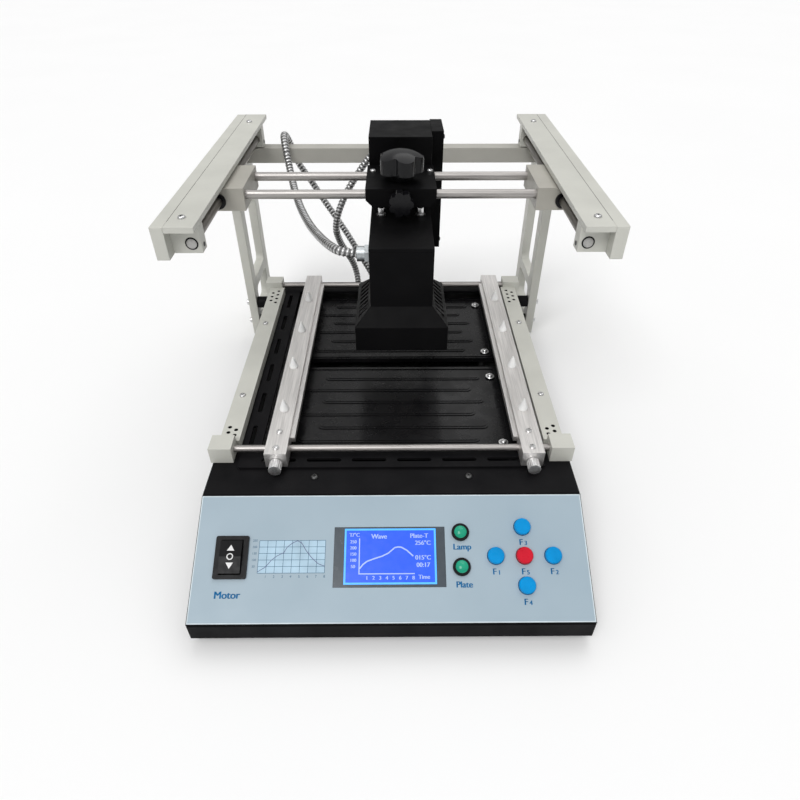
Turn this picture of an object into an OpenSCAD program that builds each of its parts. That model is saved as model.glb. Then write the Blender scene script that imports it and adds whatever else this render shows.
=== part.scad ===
// Infrared rework station for circuit boards: a preheating base, a board clamp on rods,
// and an infrared lamp on a gantry that slides along both axes and lifts.
// Millimetres. The origin is the middle of the footprint, on the bench. +Y points away from the user.

/* [Base] */
// Width of the base box
base_w = 300; // [290:1:310]
// Depth of the base box, front lip to rear wall
base_d = 438; // [436:1:446]
// Height of the rubber feet
foot_h = 7; // [4:0.5:10]
// Height of the upright front lip
lip_h = 18; // [14:1:22]
// Height of the base box above its feet
base_h = 62; // [58:1:66]
// Run of the sloped control panel, front to back
panel_run = 86; // [82:1:90]
// Thickness of the base's sheet steel
sheet = 1.5; // [1:0.1:2]
// Diameter of a rubber foot
foot_d = 24; // [16:1:30]

/* [Controls] */
// Thickness of the printed overlay
overlay_t = 0.6; // [0.3:0.1:1]
// Diameter of a key cap
key_d = 12.5; // [10:0.5:13.5]
// Distance between neighbouring keys
key_pitch = 21.8; // [20:0.2:23]
// Height of a key cap above the overlay
key_h = 4; // [3:0.5:6]
// How far a key goes in
key_travel = 2; // [1:0.1:2.5]
// Width of the display window
display_w = 85; // [70:1:90]
// Height of the display window along the panel
display_l = 45; // [36:1:48]
// Width of the rocker's bezel
rocker_w = 25; // [22:0.5:28]
// Length of the rocker's bezel along the panel
rocker_l = 32; // [29:0.5:36]
// Diameter of an indicator lens
lens_d = 9.5; // [7:0.5:11]

/* [Preheater] */
// Margin between the base's side and a preheat plate
plate_margin = 41.5; // [40:0.5:48]
// Front edge of the front plate, behind the front lip
plate_y = 140; // [138:1:146]
// Margin between the rear plate and the base's rear wall
plate_rear = 32; // [28:1:40]
// Gap between the two plates
plate_gap = 16; // [10:1:20]
// Thickness of a plate without its ribs
plate_t = 5; // [3:0.5:7]
// Thickness of the slotted frame
slot_frame_t = 2.4; // [1.6:0.1:2.6]
// Length of a cooling slot
slot_l = 29; // [22:1:32]
// Width of a cooling slot
slot_w = 4; // [3:0.5:5]

/* [Board clamp] */
// Diameter of a clamp rod
clamp_rod_d = 6; // [5:0.5:7]
// Width of a clamp bar's top
bar_w = 18; // [15:0.5:20]
// Height of a clamp bar
bar_h = 14.5; // [12.5:0.5:16]
// Gap between the left clamp bar and its rail at rest
left_bar_gap = 26.3; // [10:0.1:40]
// Gap between the right clamp bar and its rail at rest
right_bar_gap = 5; // [2:0.5:20]
// Reach of the board ledge on a bar's inner side
ledge_w = 3.7; // [2:0.1:5]
// Diameter of a support cone
cone_d = 8.3; // [6:0.1:10]
// Height of a support cone
cone_h = 11; // [8:0.5:11]
// Distance between support cones
cone_pitch = 64; // [58:1:68]
// Diameter of a thumb screw's head
thumb_d = 10.4; // [8:0.1:10.4]

/* [Gantry] */
// Gap between the base and a side frame
frame_gap = 19; // [14:1:24]
// Thickness of a side frame
frame_t = 10; // [7:0.5:12]
// How far the arms reach behind the base
arm_rear = 76; // [70:1:82]
// Front end of the arms, behind the front lip
arm_y = 191; // [185:1:196]
// Height of the arms' upper edge above the bench
arm_top = 245.5; // [243:0.5:250]
// Height of an arm
arm_h = 26.5; // [24:0.5:30]
// Depth of a side frame's leg
leg_d = 92; // [88:1:96]
// Diameter of the gantry rods
rod_d = 8; // [6:0.5:9]
// Width of the back beam's square tube
beam_w = 16.5; // [14:0.5:18]
// Length of a Y carriage
carriage_l = 63; // [58:1:68]
// Front face of the Y carriages at rest, behind the front lip
carriage_y = 290; // [286:1:294]

/* [Head] */
// Sideways place of the head at rest
head_x = 9; // [0:0.5:12]
// Width of the X carriage
slider_w = 63; // [60:1:66]
// Width and depth of the lamp's upper body
lamp_w = 55; // [50:1:57]
// Width and depth of the lamp's skirt
skirt_w = 82.5; // [76:0.5:86]
// Height of the lamp's skirt
skirt_h = 23.5; // [18:0.5:26]
// Lower edge of the lamp above the bench at rest
lamp_z = 119.5; // [119.5:0.5:124]
// Wall of the lamp hood
hood_wall = 1.2; // [0.8:0.1:2]
// Width of the motor box
motor_w = 60; // [56:1:62]
// Depth of the motor box
motor_d = 59; // [56:1:62]
// Height of the motor box
motor_h = 41.5; // [40:0.5:48]
// Diameter of the big knob
knob_d = 41; // [36:1:44]
// Diameter of the star knob
star_d = 22; // [18:0.5:23]
// Diameter of the lift screw
screw_d = 8; // [6:0.5:9]
// Diameter of the lamp's guide rods
guide_d = 5; // [4:0.5:6]

/* [Conduits] */
// Diameter of the flexible metal conduits
conduit_d = 8.5; // [7:0.5:9]

/* [Hidden] */
$fn = 48;
// Radial clearance of a running fit
run_gap = 0.05;
// Gap between faces that pass each other
pass_gap = 0.3;

// Rear end of the arms, which is the part's rear end too
arm_end = base_d + arm_rear;
arm_l = arm_end - arm_y;
front_y = -arm_end / 2;

// Base levels
top_z = foot_h + base_h;
lip_z = foot_h + lip_h;
panel_a = atan((top_z - lip_z) / panel_run);
panel_l = norm([panel_run, top_z - lip_z]);
sheet_v = sheet / cos(panel_a);
cover_y = panel_run + sheet * sin(panel_a) + 0.1;

// Places on the control panel: X, and distance up the slope from the lip
key_centre = [base_w * 0.3367, panel_l / 2];
key_places = [
    key_centre + [-key_pitch, 0],
    key_centre + [key_pitch, 0],
    key_centre + [0, key_pitch],
    key_centre + [0, -key_pitch],
    key_centre
];
display_at = [-base_w * 0.005, panel_l / 2];
display_back = 4;
rocker_at = [-base_w * 0.405, panel_l / 2];
lens_room = key_places[0][0] - key_d / 2 - display_at[0] - display_w / 2;
lens_x = display_at[0] + display_w / 2 + lens_room * 0.375;
lens_places = [[lens_x, panel_l / 2 - 8], [lens_x, panel_l / 2 + 18]];
lens_back = 1.5;
bezel_h = 1.6;
key_gap = 0.4;
key_flange = 1.5;
key_skirt_t = 1.4;
key_board_gap = 0.6;
lens_rim = 2;
overlay_edge = 0.8;
rocker_rim = 2;
rocker_depth = 15;
rocker_pin_d = 3;

// Preheater
plate_w = base_w - 2 * plate_margin;
plate_l = (base_d - plate_rear - plate_y - plate_gap) / 2;
plate_room = 3.5;
opening_x = plate_w / 2 + plate_room;
opening_y0 = plate_y - plate_room;
opening_y1 = plate_y + 2 * plate_l + plate_gap + plate_room;
frame_x = base_w / 2 - 22;
frame_y0 = plate_y - 26;
frame_y1 = base_d - 14;
frame_z = top_z + slot_frame_t;
slot_inset = 6.5;
front_slots = 6;
front_slot_pitch = (2 * frame_x - slot_l) / front_slots;
side_slots = 6;
side_slot_pitch = (frame_y1 - frame_y0 - slot_l) / side_slots;
plate_z = top_z - 6;
tray_h = 24;
tray_wall = 1;
tray_gap = 0.2;
tray_x = frame_x - 3;
tray_y0 = frame_y0 + 3;
tray_y1 = frame_y1 - 3;
post_inset = 12;
rib_w = 10.5;
rib_h = 1.3;
ribs = 6;
rib_pitch = (plate_l - 34) / (ribs - 1);
border_h = 0.9;
pad_x = 10;
pad_d = 9;
rib_ends = [[24, 30], [41, 20]];
pad_y = [10, plate_l - 18];

// Side rails and clamp rods
rail_x0 = base_w / 2 - 20;
rail_x1 = base_w / 2 - 3;
rail_h = 9;
block_x0 = base_w / 2 - 17.3;
block_x1 = base_w / 2 + 1.6;
block_h = 15.5;
front_block_y = 122;
front_block_d = 17.5;
rear_block_y = base_d - 31;
rear_block_d = 16;
rod_z = top_z + 8;
hole_d = 3.6;
hole_depth = 6;
front_rod_y = front_block_y + front_block_d / 2;
rear_rod_y = rear_block_y + rear_block_d / 2;

// Clamp bars
left_bar_x = left_bar_gap + bar_w / 2 - rail_x0;
right_bar_x = rail_x0 - right_bar_gap - bar_w / 2;
bar_z0 = frame_z + 0.9;
bar_z1 = bar_z0 + bar_h;
bar_y0 = front_rod_y - 17;
bar_y1 = rear_rod_y + clamp_rod_d / 2 + 3;
bar_web = 9;
bar_end = clamp_rod_d + 8;
ledge_z = bar_z1 - 4;
ledge_t = 5;
cone_y = 170;
thumb_l = 9;
thumb_shank_d = 4;

// Gantry
frame_x0 = base_w / 2 + frame_gap;
arm_z0 = arm_top - arm_h;
leg_y1 = arm_end - 6;
leg_y0 = leg_y1 - leg_d;
leg_front = 16;
leg_rear = 18;
leg_foot = 22;
cross_z = 65;
cross_h = 12;
window_r = 7;
window_head = 22;
fillet_r = 36;
cover_t = 4.6;
cover_x0 = frame_x0 - 23;
end_block_d = 12;
y_rod_x = frame_x0 - 15.5;
y_rod_z = arm_top - 17.5;
end_block_x0 = frame_x0 - 23;
end_block_z0 = y_rod_z - 8;
spacer_y = leg_y0 + leg_front / 2;
spacer_d = 14;
beam_back = 16.5;
beam_y = leg_y1 - beam_back - beam_w;
beam_z = arm_z0 - beam_w;
beam_wall = 1.6;
end_block_ys = [arm_y + 11, beam_y];
carriage_x0 = y_rod_x - 23.5;
carriage_x1 = y_rod_x + 9;
carriage_z0 = y_rod_z - 9;
carriage_z1 = y_rod_z + 11;
bush_d = rod_d + 6;
bush_proud = 2;
x_rod_z = y_rod_z + 3;
x_rod_inset = 8;
x_rod_y = [carriage_y + x_rod_inset, carriage_y + carriage_l - x_rod_inset];
x_rod_end = y_rod_x - bush_d / 2 - 1.5;

// Head
slider_y0 = carriage_y - 2;
slider_y1 = x_rod_y[1] + 8;
slider_z0 = x_rod_z - 8;
slider_z1 = x_rod_z + 8;
slider_cut = 6;
motor_y0 = slider_y1;
motor_y1 = motor_y0 + motor_d;
motor_top = slider_z0 + motor_h;
motor_wall = 1.5;
motor_floor = 2;
lift_y = motor_y0 + 28;
guide_x = 22;
bush_h = 9;
lift_motor_d = 28;
lift_motor_l = motor_h * 0.434;
lift_motor_z = motor_top - motor_wall - lift_motor_l;
lift_ear = 9;
lift_cover_t = 12;
lift_cover_l = 44;
lift_cover_y1 = motor_y1 + 4;
lift_cover_h = 118.5;
motor_gland_z = slider_z0 + motor_h * 0.554;
big_knob_y = x_rod_y[0] + 14;
big_knob_hub = 8;
big_knob_h = 18;
star_len = 14;
star_shank_d = 5;

// Lamp
lamp_cy = carriage_y - 35;
lamp_slope = (skirt_w - lamp_w) / 2;
skirt_top = lamp_z + skirt_h;
slope_top = skirt_top + lamp_slope;
hood_top = slider_z0 - 15;
bracket_t = 3;
bracket_z = hood_top + bracket_t;
bracket_y1 = lift_y + 20;
nut_d = screw_d + 8;
nut_h = 12;
guide_top = motor_top - motor_wall - 5.5;
screw_z0 = hood_top - 21;
emitter_w = 60;
stem_d = 12;
stud_d = 5.5;
stud_h = 7.5;
stud_flange = 9;
stud_at = [18, 18.5];
emitter_t = 12;
emitter_z = lamp_z + 7;
gland_z = hood_top - 17;
gland_y = lamp_cy + 6.5;
gland_l = 12;
gland_hex = 17;
gland_neck = 13.5;
gland_hole = 11;
louvre_count = 8;
louvre_pitch = 7.4;

// Rear connections
conduit_gland_x = [-45, -15];
conduit_gland_z = 30;
inlet_x = base_w / 2 - 55;
inlet_z = 38;
inlet_w = 28;
inlet_h = 21;

// Inside boards: corner nearest the front left, and size
board_size = [110, 80, 1.6];
board_at = [20 - base_w / 2, 20, foot_h + sheet + 6];
board_post = 6;
core_size = [55, 45, 16];
core_at = [base_w / 15, 30, foot_h + sheet];
core_foot = 8;

// Conduit routes, Y counted from the front lip, drawn for a base of route_d
route_d = 438;
lamp_route = [
    [head_x - lamp_w / 2 - gland_l, gland_y, gland_z], [-46, 265, 192], [-58, 282, 190.5], [-69, 306, 188],
    [-79, 331, 186], [-88, 356, 186], [-96, 381, 187], [-103, 405, 190], [-109, 428, 195],
    [-114, 447, 204], [-118, 461, 216], [-121, 473, 225.5], [-123, 485, 229.5], [-123, 496, 226.5],
    [-121, 504, 217.5], [-118, 508, 205], [-113, 509, 191], [-104, 508, 177], [-95, 506, 163],
    [-86, 503, 149], [-72, 498, 129], [-60, 494, 111], [-50, 490, 95], [-40, 487, 78],
    [-30, 483, 61], [-21, 475, 45], [-16, 464, 34], [conduit_gland_x[1], route_d + gland_l, conduit_gland_z]
];
motor_route = [
    [head_x, motor_y1 + gland_l, motor_gland_z], [8, 436, 245], [3, 446, 240], [-6, 451, 232], [-17, 452, 223],
    [-28, 451, 212], [-39, 448, 198], [-50, 445, 182], [-59, 443, 165], [-65, 444, 148],
    [-67, 449, 131], [-64, 459, 112], [-58, 469, 94], [-52, 478, 77], [-48, 481, 61],
    [-46, 477, 47], [-45, 468, 37], [conduit_gland_x[0], route_d + gland_l, conduit_gland_z]
];
// Points of a route that have moved fully with the base's rear, counted from its start
route_follow = 8;
conduit_sides = 10;

// Moves a piece from front-lip coordinates to the part's own frame
module placed() {
    translate([0, front_y, 0]) children();
}

// Draws on the control panel, with Z along the panel's outward normal
module on_panel(at) {
    placed() translate([at[0], 0, lip_z]) rotate([panel_a, 0, 0]) translate([0, at[1], 0]) children();
}

// Box between two corners
module span(low, high) {
    translate(low) cube(high - low);
}

// Mirrored pair, left and right
module both_sides() {
    children();
    mirror([1, 0, 0]) children();
}

// Rectangle with round corners, centred
module round_rect(w, l, r) {
    square([w - 2 * r, l], center = true);
    square([w, l - 2 * r], center = true);
    for (x = [-1, 1], y = [-1, 1]) translate([x * (w / 2 - r), y * (l / 2 - r)]) circle(r);
}

// Straight slot of a given length along X
module slot_2d(l, w) {
    square([l - w, w], center = true);
    for (x = [-1, 1]) translate([x * (l - w) / 2, 0]) circle(w / 2);
}

// Outline of a hand knob with round lobes
module lobed_2d(d, lobes, lobe_d) {
    circle(d / 2 - lobe_d * 0.28);
    for (i = [0 : lobes - 1]) rotate(i * 360 / lobes) translate([d / 2 - lobe_d / 2, 0]) circle(lobe_d / 2);
}

// Side view of the base, pulled in by the sheet where the panel and the cover lie on it
module base_side_2d() {
    polygon([
        [0, foot_h], [0, lip_z - sheet_v], [panel_run, top_z - sheet_v],
        [cover_y, top_z - sheet], [base_d, top_z - sheet], [base_d, foot_h]
    ]);
}

module base_wall(x) {
    translate([x, 0, 0]) rotate([90, 0, 90]) linear_extrude(sheet) base_side_2d();
}

module base_tub() {
    color("#1b1b1d") placed() difference() {
        union() {
            base_wall(-base_w / 2);
            base_wall(base_w / 2 - sheet);
            span([-base_w / 2, 0, foot_h], [base_w / 2, base_d, foot_h + sheet]);
            span([-base_w / 2, 0, foot_h], [base_w / 2, sheet, lip_z - sheet_v]);
            span([-base_w / 2, base_d - sheet, foot_h], [base_w / 2, base_d, top_z - sheet]);
        }
        // Rear openings for the inlet and the conduit glands
        span([inlet_x - inlet_w / 2, base_d - 2 * sheet, inlet_z - inlet_h / 2],
             [inlet_x + inlet_w / 2, base_d + sheet, inlet_z + inlet_h / 2]);
        for (x = conduit_gland_x)
            translate([x, base_d + sheet, conduit_gland_z]) rotate([90, 0, 0]) cylinder(d = gland_hole, h = 3 * sheet);
        // Cooling slots low in both side walls
        for (s = [-1, 1], i = [0 : 7])
            translate([s * (base_w / 2 - sheet / 2), base_d / 3 + i * 14, foot_h + base_h / 3])
                cube([3 * sheet, 4, base_h / 3], center = true);
    }
}

module base_cover() {
    color("#1f1f21") placed() difference() {
        span([-base_w / 2, cover_y, top_z - sheet], [base_w / 2, base_d, top_z]);
        span([-tray_x, tray_y0, top_z - 2 * sheet], [tray_x, tray_y1, top_z + sheet]);
    }
}

module rubber_feet() {
    color("#151515") placed() for (x = [-1, 1], y = [24, base_d - 24])
        translate([x * (base_w / 2 - 24), y, 0]) {
            cylinder(d1 = foot_d - 3, d2 = foot_d, h = foot_h * 0.4);
            translate([0, 0, foot_h * 0.4]) cylinder(d = foot_d, h = foot_h * 0.6);
        }
}

// Openings through the panel or its overlay
module panel_holes(depth, key_hole, display_margin) {
    for (at = key_places) translate([at[0], at[1], -depth]) cylinder(d = key_hole, h = 2 * depth);
    translate([display_at[0], display_at[1], 0])
        cube([display_w + display_margin, display_l + display_margin, 2 * depth], center = true);
    translate([rocker_at[0], rocker_at[1], 0])
        cube([rocker_w - 2 * rocker_rim, rocker_l - 2 * rocker_rim, 2 * depth], center = true);
    for (at = lens_places) translate([at[0], at[1], -depth]) cylinder(d = lens_d, h = 2 * depth);
}

module front_panel() {
    color("#252527") on_panel([0, 0]) difference() {
        translate([-base_w / 2, 0, -sheet]) cube([base_w, panel_l, sheet]);
        panel_holes(3 * sheet, key_d + 2 * key_gap, 0);
    }
}

module panel_overlay() {
    color("#b9c4cf") on_panel([0, 0]) difference() {
        translate([0, panel_l / 2, 0]) linear_extrude(overlay_t)
            round_rect(base_w - 2 * overlay_edge, panel_l - 2 * overlay_edge, 2.5);
        panel_holes(3 * sheet, key_d + 2 * key_gap, 0);
    }
}

module display_module() {
    color("#2b4fb5") on_panel(display_at) {
        translate([0, 0, overlay_t / 2 - sheet / 2])
            cube([display_w - 0.2, display_l - 0.2, sheet + overlay_t], center = true);
        translate([0, 0, -sheet - 4]) cube([display_w + display_back, display_l + display_back, 8], center = true);
    }
}

module lamp_bezels() {
    color("#141414") for (at = lens_places) on_panel(at) translate([0, 0, overlay_t]) difference() {
        cylinder(d = lens_d + 2 * lens_rim, h = bezel_h);
        translate([0, 0, -1]) cylinder(d = lens_d, h = 4);
    }
}

module indicator_lenses() {
    color("#2fd06a") for (at = lens_places) on_panel(at) {
        translate([0, 0, -sheet]) cylinder(d = lens_d - 2 * run_gap, h = sheet + overlay_t + bezel_h);
        translate([0, 0, overlay_t + bezel_h]) intersection() {
            cylinder(d = lens_d - 2 * run_gap, h = 3);
            translate([0, 0, -lens_d * 0.45]) sphere(d = lens_d * 1.5);
        }
        translate([0, 0, -sheet - 8]) cylinder(d = lens_d + lens_back, h = 8);
    }
}

module rocker_housing() {
    color("#161616") on_panel(rocker_at) difference() {
        union() {
            translate([0, 0, overlay_t]) linear_extrude(1.8) round_rect(rocker_w, rocker_l, 1.5);
            translate([0, 0, -rocker_depth]) linear_extrude(rocker_depth + overlay_t)
                square([rocker_w - 2 * rocker_rim, rocker_l - 2 * rocker_rim], center = true);
        }
        translate([0, 0, 1 - rocker_depth]) linear_extrude(rocker_depth + 4)
            square([rocker_w - 4 * rocker_rim, rocker_l - 3 * rocker_rim], center = true);
        rotate([0, 90, 0]) translate([2, 0, 0])
            cylinder(d = rocker_pin_d + 2 * run_gap, h = rocker_w - 2.6 * rocker_rim, center = true);
    }
}

module rocker() {
    cap_l = rocker_l - 3 * rocker_rim - 1.6;
    color("#1e1e1e") on_panel(rocker_at) {
        rotate([90, 0, 90]) translate([0, 0, -(rocker_w - 4 * rocker_rim - 0.6) / 2])
            linear_extrude(rocker_w - 4 * rocker_rim - 0.6)
                polygon([
                    [-cap_l / 2 + 3, -7], [cap_l / 2 - 3, -7], [cap_l / 2, 0],
                    [cap_l / 2, 4.2], [0, 5.6], [-cap_l / 2, 4.2], [-cap_l / 2, 0]
                ]);
        rotate([0, 90, 0]) translate([2, 0, 0])
            cylinder(d = rocker_pin_d, h = rocker_w - 2.6 * rocker_rim - 0.6, center = true);
    }
}

// One key: a round cap with a flange that stops under the panel
module key(i, tint) {
    color(tint) on_panel(key_places[i]) {
        translate([0, 0, -sheet - pass_gap]) cylinder(d = key_d, h = sheet + pass_gap + overlay_t + key_h - 0.8);
        translate([0, 0, overlay_t + key_h - 0.8]) cylinder(d1 = key_d, d2 = key_d - 1.4, h = 0.8);
        translate([0, 0, -sheet - pass_gap - key_skirt_t])
            cylinder(d = key_d + 2 * key_flange, h = key_skirt_t);
    }
}

module key_f1() { key(0, "#2c4fae"); }

module key_f2() { key(1, "#2c4fae"); }

module key_f3() { key(2, "#2c4fae"); }

module key_f4() { key(3, "#2c4fae"); }

module key_f5() { key(4, "#c23a2f"); }

// Circuit board behind the keys, with a switch body under each and two standoffs to the panel
module key_board() {
    drop = sheet + pass_gap + key_skirt_t + key_travel + key_board_gap;
    board_w = 2 * key_pitch + key_d + 10;
    color("#1d5a34") on_panel(key_centre) {
        translate([0, 0, -drop - 3.6]) cube([board_w, board_w, 1.6], center = true);
        for (at = key_places)
            translate([at[0] - key_centre[0], at[1] - key_centre[1], -drop - 3]) cylinder(d = 7, h = 3);
        for (x = [-1, 1], y = [-1, 1])
            translate([x * (board_w / 2 - 4), y * (board_w / 2 - 4), -drop - 3]) cylinder(d = 5, h = drop + 3 - sheet);
    }
}

// Slots of one strip along X or Y
module slot_row(count, pitch) {
    for (i = [0 : count - 1]) translate([(i - (count - 1) / 2) * pitch, 0]) slot_2d(slot_l, slot_w);
}

module slot_frame() {
    mid_y = (frame_y0 + frame_y1) / 2;
    color("#202022") placed() translate([0, 0, top_z]) difference() {
        translate([0, mid_y, 0]) linear_extrude(slot_frame_t) round_rect(2 * frame_x, frame_y1 - frame_y0, 3);
        span([-opening_x, opening_y0, -1], [opening_x, opening_y1, slot_frame_t + 1]);
        translate([0, 0, -1]) linear_extrude(slot_frame_t + 2) {
            translate([0, frame_y0 + slot_inset + 2]) slot_row(front_slots, front_slot_pitch);
            for (s = [-1, 1]) translate([s * (frame_x - slot_inset), mid_y])
                rotate(90) slot_row(side_slots, side_slot_pitch);
        }
    }
}

// Steel tray that hangs in the cover's opening and carries the plates on posts
module heat_tray() {
    tray_in = tray_wall + tray_gap;
    color("#8d9094") placed() {
        difference() {
            span([tray_gap - tray_x, tray_y0 + tray_gap, top_z - tray_h], [tray_x - tray_gap, tray_y1 - tray_gap, top_z]);
            span([tray_in - tray_x, tray_y0 + tray_in, top_z - tray_h + tray_wall],
                 [tray_x - tray_in, tray_y1 - tray_in, top_z + 1]);
        }
        for (i = [0, 1], x = [-1, 1], y = [post_inset, plate_l - post_inset])
            translate([x * (plate_w / 2 - post_inset), plate_y + i * (plate_l + plate_gap) + y, top_z - tray_h + tray_wall])
                cylinder(d = 8, h = tray_h - tray_wall - (top_z - plate_z) - plate_t);
    }
}

// Pressed rib of a plate, from one X to another: a flat bead with a narrower one on it
module rib(x0, x1) {
    translate([(x0 + x1) / 2, 0, 0]) {
        linear_extrude(rib_h * 0.6) slot_2d(x1 - x0, rib_w);
        linear_extrude(rib_h) slot_2d(x1 - x0 - rib_w * 0.4, rib_w * 0.6);
    }
}

// Preheat plate: a raised border, and pressed ribs whose ends step to and fro
module preheat_plate(y) {
    h = plate_w / 2;
    placed() translate([0, y + plate_l / 2, plate_z - plate_t]) {
        linear_extrude(plate_t) round_rect(plate_w, plate_l, 5);
        translate([0, 0, plate_t]) {
            linear_extrude(border_h) difference() {
                round_rect(plate_w - 4, plate_l - 4, 5);
                round_rect(plate_w - 9, plate_l - 9, 4);
            }
            for (i = [0 : ribs - 1]) translate([0, (i - (ribs - 1) / 2) * rib_pitch, 0])
                rib(rib_ends[i % 2][0] - h, h - rib_ends[i % 2][1]);
            for (x = [-1, 1], py = pad_y) translate([x * (h - pad_x), py - plate_l / 2, 0])
                cylinder(d = pad_d, h = 1.2);
        }
    }
}

module front_plate() {
    color("#17181a") preheat_plate(plate_y);
}

module rear_plate() {
    color("#17181a") preheat_plate(plate_y + plate_l + plate_gap);
}

// Side rail with drilled holes at both ends
module side_rail() {
    y0 = front_block_y + front_block_d;
    placed() difference() {
        translate([(rail_x0 + rail_x1) / 2, (y0 + rear_block_y) / 2, top_z]) linear_extrude(rail_h)
            square([rail_x1 - rail_x0, rear_block_y - y0], center = true);
        for (i = [0 : 3]) translate([rail_x0 + 5.5 + (i % 2) * 6, y0 + 7 + i * 3.4, top_z + rail_h - hole_depth])
            cylinder(d = hole_d, h = hole_depth + 1);
        for (i = [0 : 6]) translate([rail_x0 + 5.5 + (i % 2) * 6, rear_block_y - 8 - i * 4.4, top_z + rail_h - hole_depth])
            cylinder(d = hole_d, h = hole_depth + 1);
    }
}

module left_rail() {
    color("#9ea2a3") mirror([1, 0, 0]) side_rail();
}

module right_rail() {
    color("#9ea2a3") side_rail();
}

module rod_blocks() {
    color("#a3a7a8") both_sides() placed() difference() {
        union() {
            span([block_x0, front_block_y, top_z], [block_x1, front_block_y + front_block_d, top_z + block_h]);
            span([block_x0, rear_block_y, top_z], [block_x1, rear_block_y + rear_block_d, top_z + block_h]);
        }
        for (y = [front_rod_y, rear_rod_y]) translate([block_x0 - 1, y, rod_z]) rotate([0, 90, 0])
            cylinder(d = clamp_rod_d + 2 * run_gap, h = block_x1 - block_x0 - 3);
    }
}

module clamp_rods() {
    color("#c9cbcd") placed() for (y = [front_rod_y, rear_rod_y]) translate([0, y, rod_z]) rotate([0, 90, 0])
        cylinder(d = clamp_rod_d, h = 2 * block_x1 - 8.4, center = true);
}

// Clamp bar with its board ledge towards +X, centred on X = 0
module clamp_bar() {
    placed() difference() {
        union() {
            span([-bar_w / 2, bar_y0, bar_z1 - bar_web], [bar_w / 2, bar_y1, bar_z1]);
            span([-bar_w / 2, bar_y0, bar_z0], [bar_w / 2, bar_y0 + bar_end + 10, bar_z1]);
            span([-bar_w / 2, bar_y1 - bar_end, bar_z0], [bar_w / 2, bar_y1, bar_z1]);
            span([bar_w / 2 - 1, bar_y0 + bar_end + 10, ledge_z - ledge_t], [bar_w / 2 + ledge_w, bar_y1 - bar_end, ledge_z]);
        }
        for (y = [front_rod_y, rear_rod_y]) translate([0, y, rod_z]) rotate([0, 90, 0])
            cylinder(d = clamp_rod_d + 2 * run_gap, h = 2 * bar_w, center = true);
        translate([0, bar_y0 - 1, rod_z]) rotate([-90, 0, 0])
            cylinder(d = thumb_shank_d + 2 * run_gap, h = front_rod_y - bar_y0);
    }
}

module support_cones() {
    placed() for (i = [0 : 3]) translate([0, cone_y + i * cone_pitch, bar_z1]) {
        cylinder(d = cone_d, h = 1.5);
        translate([0, 0, 1.5]) cylinder(d1 = cone_d, d2 = 1.4, h = cone_h - 1.5);
    }
}

// Thumb screw whose shank stops just short of the front clamp rod
module thumb_screw() {
    knurls = 18;
    placed() translate([0, bar_y0 - pass_gap, rod_z]) rotate([90, 0, 0]) {
        difference() {
            cylinder(d = thumb_d, h = thumb_l);
            for (i = [0 : knurls - 1]) rotate(i * 360 / knurls)
                translate([thumb_d / 2 + 0.25, 0, 1]) cylinder(d = 1.2, h = thumb_l);
        }
        translate([0, 0, -(front_rod_y - bar_y0) + clamp_rod_d / 2])
            cylinder(d = thumb_shank_d, h = front_rod_y - bar_y0 - clamp_rod_d / 2 + 1);
    }
}

module left_bar() {
    color("#b9bcbf") translate([left_bar_x, 0, 0]) clamp_bar();
}

module left_cones() {
    color("#d5d7d9") translate([left_bar_x, 0, 0]) support_cones();
}

module left_thumb_screw() {
    color("#c4c6c8") translate([left_bar_x, 0, 0]) thumb_screw();
}

module right_bar() {
    color("#b9bcbf") translate([right_bar_x, 0, 0]) mirror([1, 0, 0]) clamp_bar();
}

module right_cones() {
    color("#d5d7d9") translate([right_bar_x, 0, 0]) support_cones();
}

module right_thumb_screw() {
    color("#c4c6c8") translate([right_bar_x, 0, 0]) thumb_screw();
}

// A window with round corners
module window_2d(y0, z0, y1, z1) {
    translate([y0 + window_r, z0]) square([y1 - y0 - 2 * window_r, z1 - z0]);
    translate([y0, z0 + window_r]) square([y1 - y0, z1 - z0 - 2 * window_r]);
    for (y = [y0 + window_r, y1 - window_r], z = [z0 + window_r, z1 - window_r]) translate([y, z]) circle(window_r);
}

// Outline of a side frame, seen from the side: an arm, a leg with two windows and a cross bar between them
module side_frame_2d() {
    front_in = leg_y0 + leg_front;
    rear_in = leg_y1 - leg_rear;
    difference() {
        union() {
            translate([arm_y, arm_z0]) square([arm_l, arm_h]);
            translate([leg_y0, foot_h]) square([leg_d, arm_z0 - foot_h + 1]);
            difference() {
                translate([leg_y0 - fillet_r, arm_z0 - fillet_r]) square(fillet_r + 1);
                translate([leg_y0 - fillet_r, arm_z0 - fillet_r]) circle(fillet_r);
            }
        }
        window_2d(front_in, cross_z + cross_h, rear_in, arm_z0 - window_head);
        window_2d(front_in, foot_h + leg_foot, rear_in, cross_z);
    }
}

module side_frame() {
    placed() translate([frame_x0, 0, 0]) rotate([90, 0, 90]) linear_extrude(frame_t) side_frame_2d();
}

module left_side_frame() {
    color("#8f9496") mirror([1, 0, 0]) side_frame();
}

module right_side_frame() {
    color("#8f9496") side_frame();
}

module frame_spacers() {
    color("#18181a") both_sides() placed() for (z = [foot_h + 16, foot_h + 42])
        translate([base_w / 2, spacer_y, z]) rotate([0, 90, 0]) cylinder(d = spacer_d, h = frame_x0 - base_w / 2);
}

// Square tube between the side frames, in the corner of leg and arm
module back_beam() {
    color("#8a8f91") placed() difference() {
        span([-frame_x0, beam_y, beam_z], [frame_x0, beam_y + beam_w, beam_z + beam_w]);
        span([-frame_x0 - 1, beam_y + beam_wall, beam_z + beam_wall],
             [frame_x0 + 1, beam_y + beam_w - beam_wall, beam_z + beam_w - beam_wall]);
    }
}

module rail_covers() {
    color("#9b9fa1") both_sides() placed()
        span([cover_x0, arm_y, arm_top - cover_t], [frame_x0, arm_end, arm_top]);
}

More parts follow.
